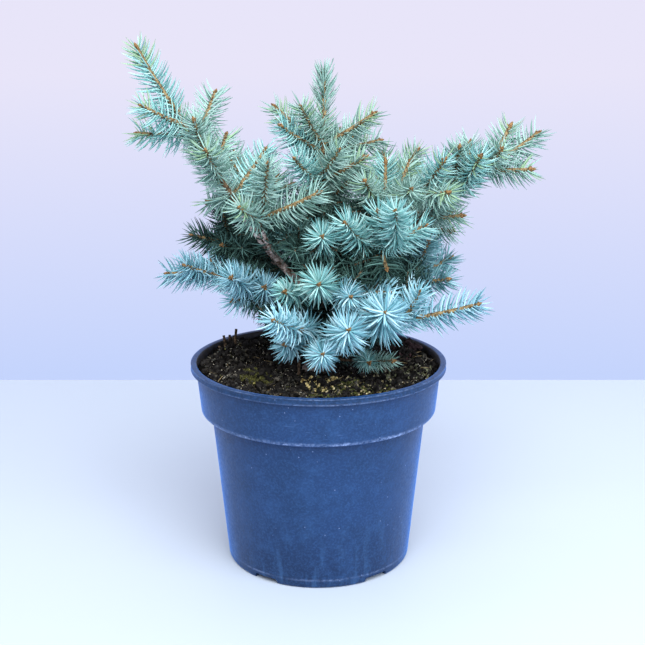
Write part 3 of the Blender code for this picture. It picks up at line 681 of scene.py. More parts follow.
# Each mass: its limb and share of it, its stem and leader as (heading, rise, length), its shoots as
# (share, heading, rise, length), how many more the rule adds, its family of needle tones, and how
# long its needles are, since shaded masses have shorter ones.
Mass = namedtuple("Mass", "limb share stem leader shoots fill tone reach", defaults=(1.0,))
masses = {
    "foliage_left": Mass("bough_left", 1, (148, 51, 0.074), (180, 59, 0.051), (
        (0.85, -150, 25, 0.035), (0.75, 165, 0, 0.040), (0.70, 65, 45, 0.042),
        (0.45, -110, 55, 0.035), (0.35, 80, 30, 0.040), (0.25, -105, 40, 0.034),
        (0.05, 50, 40, 0.046), (0.05, 135, -15, 0.028)), 1, "mint"),
    "foliage_left_front": Mass("bough_left_front", 1, (-60, 70, 0.022), (-77, 58, 0.033), (
        (0.45, -20, 25, 0.046), (0.35, -115, 25, 0.032)), 1, "mint"),
    "foliage_top": Mass("trunk", 1, (70, 78, 0.028), (90, 84, 0.030), (
        (0.25, -130, 50, 0.036), (0.20, 155, 35, 0.046), (0.05, -145, 30, 0.040),
        (0.20, -10, 32, 0.044), (0.05, 20, 8, 0.046)), 2, "mint"),
    "foliage_top_front": Mass("trunk", 0.75, (-95, 60, 0.028), (-45, 47, 0.029), (
        (0.80, -130, 38, 0.033), (0.85, -15, 30, 0.038), (0.10, -13, 42, 0.040)), 1, "mint"),
    "foliage_centre": Mass("trunk", 0.44, (-86, 44, 0.043), (-90, 19, 0.038), (
        (0.55, -145, 35, 0.033), (0.65, -35, 30, 0.032)), 3, "sea"),
    "foliage_right": Mass("bough_right", 1, (-3, 38, 0.069), (16, 31, 0.041), (
        (0.95, 40, 50, 0.036), (0.90, -65, 38, 0.028), (0.60, -72, 39, 0.042),
        (0.92, -12, 2, 0.032), (0.50, -84, 60, 0.040), (0.10, -5, 4, 0.028)), 3, "mint"),
    "foliage_right_middle": Mass("bough_right_middle", 1, (-16, 25, 0.035), (-53, 47, 0.031), (
        (0.05, -115, 37, 0.041), (0.30, -75, 22, 0.044), (0.10, 85, 70, 0.033),
        (0.20, 57, 42, 0.040), (0.85, -60, 8, 0.038)), 0, "mint"),
    "foliage_right_front": Mass("bough_right_front", 1, (-52, 18, 0.028), (-96, 40, 0.041), (
        (0.05, -122, 34, 0.046), (0.35, -82, -25, 0.026), (0.65, 4, 26, 0.028)), 1, "sea"),
    "foliage_right_back": Mass("bough_right_back", 1, (36, 14, 0.042), (43, 24, 0.042), (
        (0.20, -22, -6, 0.046),), 3, "mint"),
    "foliage_low_left": Mass("bough_low_left", 1, (175, 16, 0.048), (176, -2, 0.028), (
        (0.90, -134, 23, 0.027), (0.20, -111, 22, 0.045), (0.05, -88, 22, 0.030),
        (0.15, -135, -8, 0.025)), 1, "slate"),
    "foliage_left_back": Mass("bough_left_back", 1, (180, 19, 0.028), (-167, 13, 0.028), (), 3, "old"),
    "foliage_front_low_left": Mass("bough_front_low_left", 1, (-107, 9, 0.024), (-128, 24, 0.032), (
        (0.35, -142, 55, 0.036), (0.60, -71, 54, 0.046), (0.20, -145, -28, 0.033)), 1, "aqua"),
    "foliage_front": Mass("bough_front", 1, (-70, 26, 0.024), (-82, 22, 0.033), (
        (0.85, -116, -4, 0.037), (0.90, -66, 64, 0.035)), 1, "aqua"),
    "foliage_front_right": Mass("bough_front_right", 1, (-27, 13, 0.041), (-11, 16, 0.043), (
        (0.30, -89, 23, 0.048), (0.30, -77, 57, 0.030), (0.75, -17, 62, 0.022)), 1, "aqua"),
    "foliage_low_right": Mass("bough_low_right", 1, (16, 20, 0.024), (22, 22, 0.029), (
        (0.40, -38, 12, 0.042),), 2, "deep"),
    "foliage_foot_right": Mass("trunk", 0.06, (-24, 9, 0.038), (-29, 6, 0.033), (
        (0.90, -81, 7, 0.032),), 1, "old", 0.62),
    "foliage_back_left": Mass("bough_back_left", 1, (116, 27, 0.053), (112, 28, 0.034), (), 6, "mint"),
    "foliage_back_right": Mass("bough_back_right", 1, (56, 8, 0.055), (62, 10, 0.033), (), 6, "mint"),
    "foliage_back": Mass("bough_back", 1, (82, 19, 0.042), (86, 28, 0.034), (), 5, "mint"),
    "foliage_back_low_left": Mass("bough_back_low_left", 1, (131, 8, 0.042), (135, 18, 0.033), (), 5, "deep"),
    "foliage_back_low_right": Mass("bough_back_low_right", 1, (40, 14, 0.044), (46, 18, 0.032), (), 5,
                                   "deep"),
    "foliage_back_top": Mass("trunk", 0.80, (76, 30, 0.055), (84, 24, 0.036), (), 5, "mint"),
}

# One piece of wood: its node, kind, axis, radius at each point, and heading and rise
Wood = namedtuple("Wood", "node kind points radii way")


def pointing(heading, rise):
    h, r = math.radians(heading), math.radians(rise)
    return np.array((math.cos(r) * math.cos(h), math.cos(r) * math.sin(h), math.sin(r)))


def growAxis(start, first, last, length, steps, turnedBy=1.0):
    turn = (last[0] - first[0] + 180) % 360 - 180
    points = [np.array(start, dtype=float)]
    for i in range(steps):
        t = min(1.0, (i + 0.5) / steps / turnedBy)
        way = pointing(first[0] + turn * t, first[1] + (last[1] - first[1]) * t)
        points.append(points[-1] + way * (length / steps))
    return np.array(points)


def along(points, share):
    place = share * (len(points) - 1)
    i = min(int(place), len(points) - 2)
    return points[i] + (points[i + 1] - points[i]) * (place - i)


def growLimbs():
    steps, rise = growth["trunkSteps"], growth["trunkRise"]
    heading, length = growth["trunkHeading"], growth["trunkLength"]
    start = (0, 0, growth["soil"] + growth["gap"])
    points = growAxis(start, (heading, rise[0]), (heading, rise[1]), length, steps)
    flare = growth["flareRadius"] * np.exp(-np.linspace(0, length, steps + 1) / growth["flareHeight"])
    radii = np.linspace(*growth["trunkRadii"], steps + 1) + flare
    limbs = {"trunk": Wood("trunk", "trunk", points, radii, (heading, rise[1]))}
    for name, (parent, share, heading, rise, curl, length, radii) in boughs.items():
        start = along(limbs[parent].points, share)
        first, last = (heading, rise - curl / 2), (heading, rise + curl / 2)
        points = growAxis(start, first, last, length, growth["boughSteps"])
        limbs[name] = Wood(name, "bough", points, np.linspace(*radii, len(points)), last)
    return limbs


def growStem(name, mass, limbs):
    heading, rise, length = mass.stem
    steps = round(length / growth["row"])
    start = along(limbs[mass.limb].points, mass.share)
    first = limbs[mass.limb].way if mass.share == 1 else (heading, rise)
    if mass.share == 1:
        start = start + pointing(*first) * growth["gap"]
    points = growAxis(start, first, (heading, rise), length, steps, growth["stemTurn"])
    return Wood(name, "stem", points, np.linspace(*growth["stemRadii"], steps + 1), (heading, rise))


def growShoot(name, start, heading, rise, length, kind="shoot", radii=growth["shootRadii"]):
    steps = max(2, round(length / growth["row"]))
    first, last = (heading, rise - growth["shootLift"]), (heading, rise + growth["shootLift"])
    points = growAxis(start, first, last, length, steps)
    return Wood(name, kind, points, np.linspace(*radii, steps + 1), (heading, rise))


def gapsBetween(points, wood):
    a, b = wood.points[:-1], wood.points[1:]
    run = b - a
    fromA = points[:, None, :] - a[None]
    t = np.clip((fromA * run).sum(2) / (run * run).sum(1), 0, 1)
    return np.linalg.norm(fromA - t[..., None] * run, axis=2) - wood.radii[:-1]


def overGround(points):
    outside = np.hypot(points[:, 0], points[:, 1]) > growth["rimInside"]
    return bool((points[:, 2] > np.where(outside, growth["rimClear"], growth["lowest"])).all())


def fillShoot(name, mass, stem, woods, rng, side):
    heading, rise, _ = mass.stem
    for _ in range(growth["fillTries"]):
        start = along(stem.points, rng.uniform(*growth["fillShare"]))
        turn = side * rng.uniform(*growth["fillTurn"])
        shoot = growShoot(name, start, heading + turn, rise + rng.uniform(*growth["fillRise"]),
                          rng.uniform(*growth["fillLength"]))
        outer = shoot.points[2:]
        clear = min(gapsBetween(outer, wood).min() for wood in woods if wood is not stem)
        if clear > growth["fillClear"] and overGround(outer - (0, 0, growth["fillClear"])):
            return shoot
        side = -side
    return None


def growMasses(limbs):
    woods = list(limbs.values())
    stems = {name: growStem(name, mass, limbs) for name, mass in masses.items()}
    woods += stems.values()
    for name, mass in masses.items():
        woods.append(growShoot(name, stems[name].points[-1], *mass.leader))
        for share, heading, rise, length in mass.shoots:
            woods.append(growShoot(name, along(stems[name].points, share), heading, rise, length))
    for number, (name, mass) in enumerate(masses.items()):
        rng = random.Random(number + 1)
        for count in range(mass.fill):
            shoot = fillShoot(name, mass, stems[name], woods, rng, 1 if count % 2 else -1)
            if shoot:
                woods.append(shoot)
    return woods


# Shoots that the photograph shows end-on grow here from the trunk behind them, to about the same tips
# as in the solids: (mass, which of its pieces) and share of the trunk, heading, rise and length.
endOn = {
    ("foliage_front_low_left", 2): (0.38, -109, 11, 0.072),
    ("foliage_front_low_left", 3): (0.42, -90, 11, 0.088),
    ("foliage_front_low_left", 4): (0.12, -110, 15, 0.070),
    ("foliage_front", 2): (0.08, -88, 16, 0.095),
    ("foliage_front", 3): (0.40, -75, 7, 0.083),
    ("foliage_front_right", 3): (0.38, -53, 9, 0.080),
    ("foliage_foot_right", 1): (0.06, -41, 9, 0.070),
}

# Finer side twigs: the rule goes on inside the crown, where older wood keeps darker needles, which are also
# painted shade
sideTwigs = {
    "seed": 61, "apart": 0.0055, "turn": (35, 85), "rise": (-35, 55), "length": (0.014, 0.026),
    "clear": 0.0070, "radii": (0.0010, 0.0007), "tries": 6, "span": (0.05, 0.9),
    "bareBough": 0.14,  # the foot of a bough carries none
    "follow": 0.5,  # how much of its parent's rise a twig takes
    "centre": (0.006, 0.012, 0.218), "core": (0.072, 0.070, 0.056),  # their tips stay in this egg
    # share of the trunk, heading, rise and length of the first ones, which stand in front of it
    "first": ((0.22, -72, 12, 0.030), (0.27, -108, 20, 0.030), (0.16, -88, 22, 0.024)),
    # this much of the bough shows from the front, with this room round it, also for twigs a little behind
    "shown": ("bough_left", 0.42, 0.014, 0.004), "shownSpots": 7,
}


def turnEndOn(woods, limbs):
    for (name, number), (share, heading, rise, length) in endOn.items():
        own = [k for k, wood in enumerate(woods) if wood.node == name]
        start = along(limbs["trunk"].points, share)
        woods[own[number]] = growShoot(name, start, heading, rise, length, "long shoot")


def massOf(wood):
    if wood.node in masses:
        return wood.node
    for name, mass in masses.items():
        if mass.limb == wood.node:
            return name
    return "foliage_centre"


def growSideTwigs(woods):
    rng = random.Random(sideTwigs["seed"])
    centre, core = np.array(sideTwigs["centre"]), np.array(sideTwigs["core"])
    name, upTo, room, behind = sideTwigs["shown"]
    limb = next(wood for wood in woods if wood.node == name)
    count = sideTwigs["shownSpots"]
    shown = [along(limb.points, upTo * k / (count - 1)) for k in range(count)]

    def hides(point):
        return any(point[1] < spot[1] + behind and math.hypot(point[0] - spot[0], point[2] - spot[2]) < room
                   for spot in shown)

    trunk = woods[0]
    grown = [growShoot(massOf(trunk), along(trunk.points, share), *way, "twig", sideTwigs["radii"])
             for share, *way in sideTwigs["first"]]
    for wood in woods:
        spans = np.linalg.norm(np.diff(wood.points, axis=0), axis=1).sum()
        for _ in range(int(spans / sideTwigs["apart"]) * sideTwigs["tries"]):
            share = rng.uniform(*sideTwigs["span"])
            turn = rng.choice((-1, 1)) * rng.uniform(*sideTwigs["turn"])
            rise, length = rng.uniform(*sideTwigs["rise"]), rng.uniform(*sideTwigs["length"])
            heading = rng.uniform(0, 360) if wood.kind == "trunk" else wood.way[0] + turn
            rise = wood.way[1] * sideTwigs["follow"] + rise
            if wood.kind in ("trunk", "bough") and share < sideTwigs["bareBough"]:
                continue
            twig = growShoot(massOf(wood), along(wood.points, share), heading, rise, length, "twig",
                             sideTwigs["radii"])
            outer = twig.points[1:]
            if np.linalg.norm((outer[-1] - centre) / core) > 1 or any(hides(point) for point in outer):
                continue
            near = [other for other in woods + grown if other is not wood]
            if overGround(outer - (0, 0, sideTwigs["clear"])) and all(
                    gapsBetween(outer[-1:], other).min() > sideTwigs["clear"] for other in near):
                grown.append(twig)
    return grown


# Wood

Tube = namedtuple("Tube", "step sides relief grain swell foot bark")
tubes = {  # sizes of its skin, times the grown radius, how much a foot swells, and its finish
    "trunk_bark": Tube(0.0007, 48, 0.00075, 0.0028, 1.0, 0.0,
                       ("weathered spruce bark", "#2f2721", "#7b736c", 0.0034, 0.9)),
    "bough_bark": Tube(0.0008, 26, 0.00030, 0.0024, 0.80, 0.5,
                       ("spruce bough bark", "#553f2e", "#d8cbc6", 0.0026, 0.88)),
    "older_twigs": Tube(0.0018, 8, 0.00022, 0.0014, 1.0, 0.0,
                        ("two-year spruce twig", "#33281e", "#6f5f49", 0.0018, 0.8)),
    "young_twigs": Tube(0.0013, 9, 0.00026, 0.0012, 1.6, 0.0,
                        ("one-year spruce twig", "#362a1d", "#8e7c58", 0.0012, 0.8)),
    "dead_stems": Tube(0.0013, 9, 0.00026, 0.0012, 1.0, 0.0,
                       ("dead stem", "#1b1611", "#5c4e3e", 0.0016, 0.9)),
}
footFade = 9  # how fast the swelling of a foot dies out along its bough
flakes = {"gap": 0.32, "raised": (-0.55, 0.45), "finer": 2.3, "fine": (-0.8, 0.8)}  # of the grain and relief
stubs = {
    "stems": (  # place, heading, rise and length
        (-0.0715, 0.0400, 160, 80, 0.015), (-0.0668, 0.0430, 60, 76, 0.018),
        (-0.0690, 0.0420, 100, 60, 0.011), (-0.0690, 0.0405, 20, 40, 0.009),
        (-0.0730, 0.0390, -150, 50, 0.008), (-0.0143, -0.0164, 90, 84, 0.015)),
    "sunk": 0.003, "radii": (0.0015, 0.0010),
}


def axisMesh(name, woods, values):
    # the axes as chains of edges, with their sizes as attributes on the points
    data = bpy.data.meshes.new(name)
    points = np.vstack([wood.points for wood in woods])
    edges, first = [], 0
    for wood in woods:
        count = len(wood.points)
        edges += [(first + k, first + k + 1) for k in range(count - 1)]
        first += count
    data.from_pydata(points.tolist(), edges, [])
    values = dict(values, thick=[radius for wood in woods for radius in wood.radii])
    for label, numbers in values.items():
        whole = isinstance(numbers[0], int)
        attribute = data.attributes.new(label, "INT" if whole else "FLOAT", "POINT")
        attribute.data.foreach_set("value", numbers)
    return newObject(name, data)


def woodTree():
    # a tube along each axis, its skin lifted in flakes and pegs
    tree, add, given = newTree("wood", ("step", "relief", "grain"), sides="Int", finish="Material")
    thick = add("InputNamedAttribute", {"Name": "thick"}, data_type="FLOAT")
    tube = tubeAlong(add, smoothCurve(add, given["Geometry"], given["step"]), given["sides"], thick)
    place = add("InputPosition")
    often = add("Math", (1.0, given["grain"]), "DIVIDE")
    inside = add("TexVoronoi", {"Vector": place, "Scale": often}, feature="DISTANCE_TO_EDGE")
    raised = add("MapRange", {"Value": inside, "From": (0.0, flakes["gap"]), "To": flakes["raised"]},
                 interpolation_type="SMOOTHSTEP")
    finer = add("Math", (often, flakes["finer"]), "MULTIPLY")
    fine = add("TexNoise", {"Vector": place, "Scale": finer, "Detail": 3.0})
    fine = add("MapRange", {"Value": fine, "To": flakes["fine"]})
    lift = add("Math", (raised, fine), "ADD")
    lift = add("Math", (lift, given["relief"]), "MULTIPLY")
    normal = add("InputNormal").outputs[0]
    offset = add("VectorMath", {0: normal, "Scale": lift}, "SCALE")
    skin = add("SetPosition", {"Geometry": tube, "Offset": offset})
    skin = add("SetShadeSmooth", {"Geometry": skin})
    return closeTree(tree, skin, given["finish"])


def barkFinish(name, dark, light, grain, roughness):
    # Spruce bark: thin scales of weathered grey over warmer brown, parted by fine cracks, quite matt.
    finish, add, shade, place = patterned(name, light, roughness, {"Specular IOR Level": 0.15})
    patches = add("TexNoise", {"Vector": place, "Scale": 0.8 / grain, "Detail": 5.0, "Roughness": 0.6})
    share = add("MapRange", {"Value": patches, "From": (0.40, 0.58)})
    colour = add("Mix", {0: share, 6: dark, 7: light}, data_type="RGBA")
    scales = add("TexVoronoi", {"Vector": place, "Scale": 1 / grain}, feature="DISTANCE_TO_EDGE")
    crack = add("MapRange", {"Value": scales, "From": (0.0, 0.10), "To": (0.5, 0.0)})
    colour = add("Mix", {0: crack, 6: colour, 7: dark}, data_type="RGBA")
    bump = add("Bump", {"Height": patches, "Strength": 0.4, "Distance": 0.0004})
    shade({"Base Color": colour, "Normal": bump})
    return finish


def makeTubes(tree, name, woods, slot, *nodes):
    tube = tubes[name]
    swollen = []
    for wood in woods:  # the foot of a bough swells where it leaves its parent
        foot = tube.foot * np.exp(-np.linspace(0, 1, len(wood.points)) * footFade)
        swollen.append(wood._replace(radii=wood.radii * tube.swell * (1 + foot)))
    piece = grownBy(axisMesh(name, swollen, {}), tree, dict(tube._asdict(), finish=barkFinish(*tube.bark)))
    finishPiece(piece, slot, *nodes)


def makeWood(limbs, woods):
    tree = woodTree()
    shoots = [wood for wood in woods if "shoot" in wood.kind]
    older = [wood for wood in woods if wood.kind in ("stem", "twig")]
    # painted shade: the shoots of the shaded mass at the foot take the darker bark of older twigs
    older += [wood for wood in shoots if masses[wood.node].reach < 1]
    makeTubes(tree, "trunk_bark", [limbs["trunk"]], "bark", "trunk")
    makeTubes(tree, "bough_bark", [limbs[name] for name in boughs], "bark", *boughs)
    makeTubes(tree, "older_twigs", older, "bark")
    makeTubes(tree, "young_twigs", [wood for wood in shoots if masses[wood.node].reach == 1], "bark")
    stems = [growShoot("stubs", (x, y, compostHeight(x, y) - stubs["sunk"]), *way, "stub", stubs["radii"])
             for x, y, *way in stubs["stems"]]
    makeTubes(tree, "dead_stems", stems, "potting_soil")


# Needles

needle = {  # the width is that of the circle round its three sides
    "sizes": {"length": 0.0162, "width": 0.0013, "curl": 0.12, "upturn": 0.10},
    "angles": {"leanFoot": 78, "leanTip": 50, "leanSpread": 8, "turn": 137.508, "turnSpread": 10},
    "steps": 3, "sides": 3, "varied": (0.80, 1.12),
    "shorter": (((0.0, 0.18), (0.72, 1.0)), ((0.75, 1.0), (1.0, 0.84))),  # parts of a shoot, times the length
    "late": 2.5, "back": -0.35, "blunt": 3.0, "radii": (0.5, 0.06), "seed": 7,
    "dull": 0.30, "pale": 0.72,  # of all needles, the share below and above which the tone moves one step
    "greenFrom": (0.55, 0.85), "oldReach": 0.85, "fresh": (0.0, 0.15, 0.35),
    "bare": {"bough": 0.4, "long shoot": 0.62}, "usualBare": 0.04, "shownBare": 0.9,  # up to this share
}

# What differs by family of tones, or by kind of wood inside the crown: the usual value comes first
sprays = {
    "spacing": (0.00021, {"mint": 0.00027, "aqua": 0.00027, "sea": 0.00024, "slate": 0.00023,
                          "twig": 0.00045, "bough": 0.0008}),  # how far apart needles leave the wood
    "parting": (0.8, {"old": 0.2, "deep": 0.5, "mint": 0.95, "twig": 0.0, "bough": 0.0}),  # share left out
    "broad": (1.0, {"aqua": 1.18, "sea": 1.12, "slate": 1.08}),  # times the usual width
}
parted = {"side": (0, -0.64, 0.77), "band": (0.5, 0.72)}  # which side parts, and how near it that begins

# A needle's tip stays over the compost inside the pot's wall, and over the rim as far as it reaches
cleared = {"wall": (0.074, 0.084), "overCompost": 0.003, "overRim": 0.0025, "upTo": 0.105, "lift": 1.15}

# Living spruce needles under a glaucous wax bloom: bluer and paler where the bloom is whole,
# green where it has worn off. Each family is a dull, a usual and a pale needle in plain colours,
# dealt out by spray. The old family is darker for older needles and also as painted shade inside
# the crown, and the deep family is darker as painted shade on the low masses.
needleTones = {
    "old": ("#233b36", "#385650", "#527670"),
    "deep": ("#48727a", "#64959d", "#82b0b8"),
    "mint": ("#65897f", "#8bb1a8", "#96b8b1"),
    "sea": ("#609696", "#88bdbb", "#a0cbc9"),
    "aqua": ("#679da9", "#90c1cd", "#abd4df"),
    "slate": ("#578793", "#7ba9b8", "#98c3d0"),
    "young": ("#6c9077", "#88ab8a", "#a1c3a0"),
}
families = list(needleTones)
kin = {"mint": "sea", "sea": "mint", "slate": "aqua"}
kinShare = 0.15  # how many sprays take the tones of the family next to their own


def needleTree(finishes):
    tree, add, given = newTree("needles", (*needle["sizes"], *needle["angles"]), seed="Int")
    read = {name: add("InputNamedAttribute", {"Name": name}, data_type="INT" if name == "tone" else "FLOAT")
            for name in ("tone", "share", "reach", "bare", "fresh", "open", *sprays)}
    dice = {name: add("RandomValue", {2: least, 3: most, "Seed": seed}) for name, least, most, seed in (
        ("turn", -1.0, 1.0, given["seed"]), ("lean", -1.0, 1.0, 11), ("length", *needle["varied"], 12),
        ("tone", 0.0, 1.0, 13), ("green", 0.0, 1.0, 14), ("parting", 0.0, 1.0, 15))}
    curve = smoothCurve(add, given["Geometry"], read["spacing"])
    share = add("SplineParameter").outputs["Factor"]
    curve = add("StoreNamedAttribute", {"Geometry": curve, "Name": "share", "Value": share},
                data_type="FLOAT", domain="POINT")
    spots = add("CurveToPoints", {"Curve": curve}, mode="EVALUATED").outputs
    # which way each needle stands: round the shoot by the leaf angle, then leaning forwards
    angle = add("Math", (add("InputIndex"), given["turn"]), "MULTIPLY")
    angle = add("Math", (dice["turn"], given["turnSpread"], angle), "MULTIPLY_ADD")
    outward = add("VectorRotate", {"Vector": spots["Normal"], "Axis": spots["Tangent"], "Angle": angle},
                  rotation_type="AXIS_ANGLE")
    late = add("Math", (read["share"], needle["late"]), "POWER")
    lean = add("MapRange", {"Value": late, "To": (given["leanFoot"], given["leanTip"])})
    lean = add("Math", (dice["lean"], given["leanSpread"], lean), "MULTIPLY_ADD")
    lean = add("Math", (lean, read["open"]), "MULTIPLY")
    ahead, aside = (add("VectorMath", {0: axis, "Scale": add("Math", (lean,), part)}, "SCALE")
                    for axis, part in ((spots["Tangent"], "COSINE"), (outward, "SINE")))
    way = add("VectorMath", (ahead, aside), "ADD")
    up = add("CombineXYZ", {"Z": given["upturn"]})
    way = add("VectorMath", (way, up), "ADD")
    way = add("VectorMath", (way,), "NORMALIZE")
    # length, a little less at the foot and the tip of a shoot
    size, tip = (add("MapRange", {"Value": read["share"], "From": span, "To": times})
                 for span, times in needle["shorter"])
    for factor in (tip, dice["length"], read["reach"]):
        size = add("Math", (size, factor), "MULTIPLY")
    # a needle that would enter the compost or cross the rim is lifted clear
    full = add("Math", (size, given["length"]), "MULTIPLY")
    reach = add("VectorMath", {0: way, "Scale": full}, "SCALE")
    end = add("VectorMath", (add("InputPosition"), reach), "ADD")
    end = add("SeparateXYZ", (end,)).outputs
    flat = add("CombineXYZ", (end["X"], end["Y"]))
    out = add("VectorMath", (flat,), "LENGTH").outputs["Value"]
    floor = (compost["level"] + cleared["overCompost"], pot["height"] + cleared["overRim"])
    under = add("MapRange", {"Value": out, "From": cleared["wall"], "To": floor})
    nearRim = add("Compare", (out, cleared["upTo"]), "LESS_THAN")
    for operation, value in (("SUBTRACT", end["Z"]), ("MAXIMUM", 0.0), ("MULTIPLY", nearRim),
                             ("DIVIDE", full), ("MULTIPLY", cleared["lift"])):
        under = add("Math", (under, value), operation)
    lifted = add("CombineXYZ", {"Z": under})
    way = add("VectorMath", (way, lifted), "ADD")
    turn = add("AlignRotationToVector", {"Vector": way}, axis="Z")
    turn = add("AlignRotationToVector", {"Rotation": turn, "Vector": spots["Tangent"]}, axis="X",
               pivot_axis="Z")
    # the tone: that of the spray, one step up or down for some needles, and near some tips young green,
    # which is the middle tone of the last family
    less = add("Math", (dice["tone"], needle["dull"]), "LESS_THAN")
    more = add("Math", (dice["tone"], needle["pale"]), "GREATER_THAN")
    tone = add("Math", (read["tone"], more), "ADD")
    tone = add("Math", (tone, less), "SUBTRACT")
    green = add("MapRange", {"Value": read["share"], "From": needle["greenFrom"]})
    green = add("Math", (green, read["fresh"]), "MULTIPLY")
    green = add("Compare", (dice["green"], green), "LESS_THAN")
    tone = add("Switch", {"Switch": green, "False": tone, "True": len(finishes) - 2}, input_type="INT")
    spot = add("StoreNamedAttribute", {"Geometry": spots["Points"], "Name": "tone", "Value": tone},
               data_type="INT", domain="POINT")
    # one needle: a slim blade of the given length, bent forwards to a point
    bend = add("Math", (given["length"], given["curl"]), "MULTIPLY")
    back = add("Math", (bend, needle["back"]), "MULTIPLY")
    half = add("Math", (given["length"], 0.5), "MULTIPLY")
    line = add("CurveQuadraticBezier", {
        "Resolution": needle["steps"], "Start": (0, 0, 0),
        "Middle": add("CombineXYZ", {"X": back, "Z": half}),
        "End": add("CombineXYZ", {"X": bend, "Z": given["length"]})})
    place = add("SplineParameter").outputs["Factor"]
    slim = add("Math", (place, needle["blunt"]), "POWER")
    slim = add("MapRange", {"Value": slim, "To": needle["radii"]})
    slim = add("Math", (slim, given["width"]), "MULTIPLY")
    blade = add("SetShadeSmooth", {"Geometry": tubeAlong(add, line, needle["sides"], slim)})
    # shoots part their needles on top, so the twig shows there
    lit = add("VectorMath", (outward, parted["side"]), "DOT_PRODUCT").outputs["Value"]
    lit = add("MapRange", {"Value": lit, "From": parted["band"], "To": (0.0, read["parting"])})
    grows, kept = (add("Compare", (more, less))
                   for more, less in ((read["share"], read["bare"]), (dice["parting"], lit)))
    grows = add("BooleanMath", (grows, kept), "AND")
    wide = add("Math", (size, read["broad"]), "MULTIPLY")
    sizes = add("CombineXYZ", (wide, wide, size))
    shape = add("InstanceOnPoints", {
        "Points": spot, "Selection": grows, "Instance": blade, "Rotation": turn, "Scale": sizes})
    shape = add("RealizeInstances", {"Geometry": shape})
    for number, finish in enumerate(finishes):
        isTone = add("Compare", {2: read["tone"], 3: number}, "EQUAL", data_type="INT")
        shape = add("SetMaterial", {"Geometry": shape, "Selection": isTone, "Material": finish})
    for name in (*read, "thick"):
        shape = add("RemoveAttribute", {"Geometry": shape, "Name": name})
    add("NodeGroupOutput", {"Geometry": shape})
    return tree


# Single shoots that the photograph shows unlike the rest of their mass: how long their needles are,
# how far they open from the twig, how much they part on top, and their family of tones
oddShoots = {
    "foliage_front_right": {1: {"tone": "slate"}, 2: {"reach": 1.4}},
    "foliage_front": {1: {"reach": 1.15}, 2: {"parting": 0.0}},
    "foliage_front_low_left": {1: {"parting": 1.0}, 2: {"tone": "sea"}, 3: {"reach": 1.2, "tone": "sea"},
                               4: {"parting": 0.0}},
    "foliage_right_front": {3: {"tone": "old"}},
    "foliage_top": {1: {"reach": 0.95, "open": 0.7, "parting": 0.4}},
    "foliage_foot_right": {1: {"tone": "mint", "parting": 0.0}, 2: {"tone": "sea", "parting": 0.0}},
}


def sprayOf(wood, mass, rng):
    # the tones, sizes and density of the needles on one piece of wood
    old = wood.kind in ("bough", "twig")
    kind = wood.kind if old else mass.tone
    family = kin.get(mass.tone, mass.tone) if rng.random() < kinShare else mass.tone
    spray = {label: others.get(kind, usual) for label, (usual, others) in sprays.items()}
    spray["tone"] = "old" if old else family  # twigs inside the crown keep old needles, darker also as painted shade
    spray["reach"] = needle["oldReach"] if old else mass.reach
    spray["bare"] = needle["bare"].get(wood.kind, needle["usualBare"])
    if wood.node == sideTwigs["shown"][0]:
        spray["bare"] = needle["shownBare"]
    spray["fresh"] = rng.choice(needle["fresh"]) if kind == "mint" else 0.0
    spray["open"] = 1.0
    return spray


def makeNeedles(woods):
    finishes = [newFinish(f"{family} spruce needle {k}", colour, 0.8, {"Specular IOR Level": 0.12})
                for family, colours in needleTones.items() for k, colour in enumerate(colours)]
    tree = needleTree(finishes)
    angles = {label: math.radians(angle) for label, angle in needle["angles"].items()}
    rng = random.Random(needle["seed"])
    for number, (name, mass) in enumerate(masses.items()):
        own = [wood for wood in woods if wood.kind != "trunk" and massOf(wood) == name]
        values = {}
        count = 0
        for wood in own:
            spray = sprayOf(wood, mass, rng)
            if wood.node == name:
                spray.update(oddShoots.get(name, {}).get(count, {}))
                count += 1
            spray["tone"] = 3 * families.index(spray["tone"]) + 1  # the middle one of its family
            for label, value in spray.items():
                values.setdefault(label, []).extend([value] * len(wood.points))
        piece = axisMesh("needles_" + name.removeprefix("foliage_"), own, values)
        finishPiece(grownBy(piece, tree, {**needle["sizes"], **angles, "seed": number}), "needles", name)


# Buds

bud = {
    "length": 0.0046, "width": 0.0028, "spread": 46, "sideSize": 0.72, "sides": 7, "steps": 6,
    "outline": ((0, 0.55), (0.35, 1.0), (0.7, 0.66), (1, 0.1)),  # share of its length, share of its width
    "sunk": (0.0004, 0.0006), "firstTurn": 0.4, "varied": (0.75, 1.15),
}


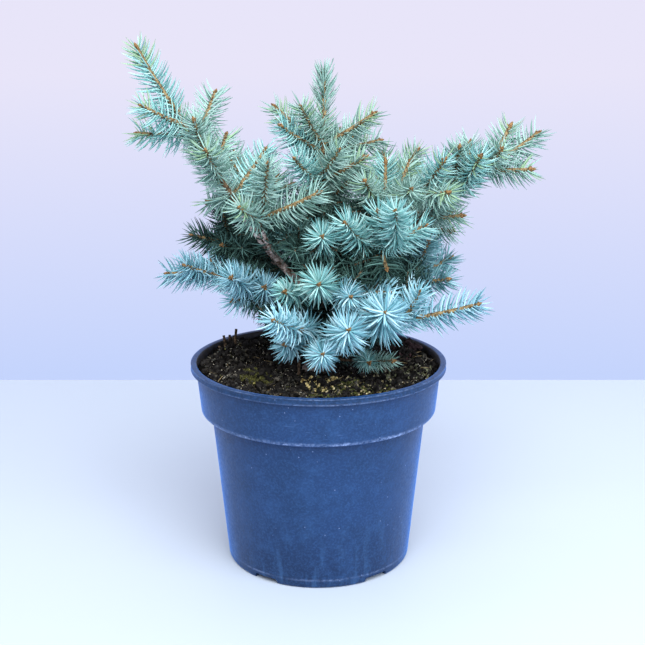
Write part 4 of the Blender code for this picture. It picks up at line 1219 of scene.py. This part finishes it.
def budTree():
    # at the end of each shoot, one bud and three smaller ones round it
    tree, add, given = newTree("buds", ("length", "width", "spread", "sideSize"), finish="Material")
    curve = add("MeshToCurve", {"Mesh": given["Geometry"]})
    ends = add("CurveEndpointSelection", {"Start Size": 0, "End Size": 1})
    line = add("CurvePrimitiveLine", {
        "Start": (0, 0, -bud["sunk"][0]), "End": add("CombineXYZ", {"Z": given["length"]})})
    line = add("ResampleCurve", {"Curve": line, "Count": bud["steps"]}, mode="COUNT")
    radius = add("FloatCurve", {"Value": add("SplineParameter").outputs["Factor"]})
    outline = radius.mapping.curves[0].points
    outline[0].location, outline[1].location = bud["outline"][0], bud["outline"][-1]
    for spot in bud["outline"][1:-1]:
        outline.new(*spot)
    radius.mapping.update()
    for factor in (given["width"], 0.5):
        radius = add("Math", (radius, factor), "MULTIPLY")
    egg = tubeAlong(add, line, bud["sides"], radius)
    cluster = add("JoinGeometry", {"Geometry": egg})
    smaller = add("CombineXYZ", (given["sideSize"],) * 3)
    for turn in turnsOf(3):
        tilt = add("CombineXYZ", {"X": given["spread"], "Z": turn + bud["firstTurn"]})
        side = add("Transform", {
            "Geometry": egg, "Translation": (0, 0, -bud["sunk"][1]), "Rotation": tilt, "Scale": smaller})
        feed(tree, cluster, {"Geometry": side})
    cluster = add("SetShadeSmooth", {"Geometry": cluster})
    turn = add("AlignRotationToVector", {"Vector": add("InputTangent")}, axis="Z")
    least, most = bud["varied"]
    size = add("RandomValue", {2: least, 3: most, "Seed": 3})
    copies = add("InstanceOnPoints", {
        "Points": curve, "Selection": ends, "Instance": cluster, "Rotation": turn, "Scale": size})
    return closeTree(tree, copies, given["finish"])


def makeBuds(woods):
    # papery bud scales, dry and a little shiny
    finish = barkFinish("dry bud scales", "#42301e", "#8f7048", 0.0010, 0.7)
    piece = axisMesh("buds", [wood for wood in woods if "shoot" in wood.kind], {})
    grownBy(piece, budTree(), dict(bud, spread=math.radians(bud["spread"]), finish=finish))
    finishPiece(piece, "bark")


makeStage()
makePot()
soil = makeCompost()
makeLitter(soil)
finishPiece(soil, "potting_soil", "soil")
limbs = growLimbs()
woods = growMasses(limbs)
turnEndOn(woods, limbs)
twigs = growSideTwigs(woods)
print("growth:", len(woods), "pieces of wood and", len(twigs), "side twigs")
woods = woods + twigs
makeWood(limbs, woods)
makeNeedles(woods)
makeBuds(woods)
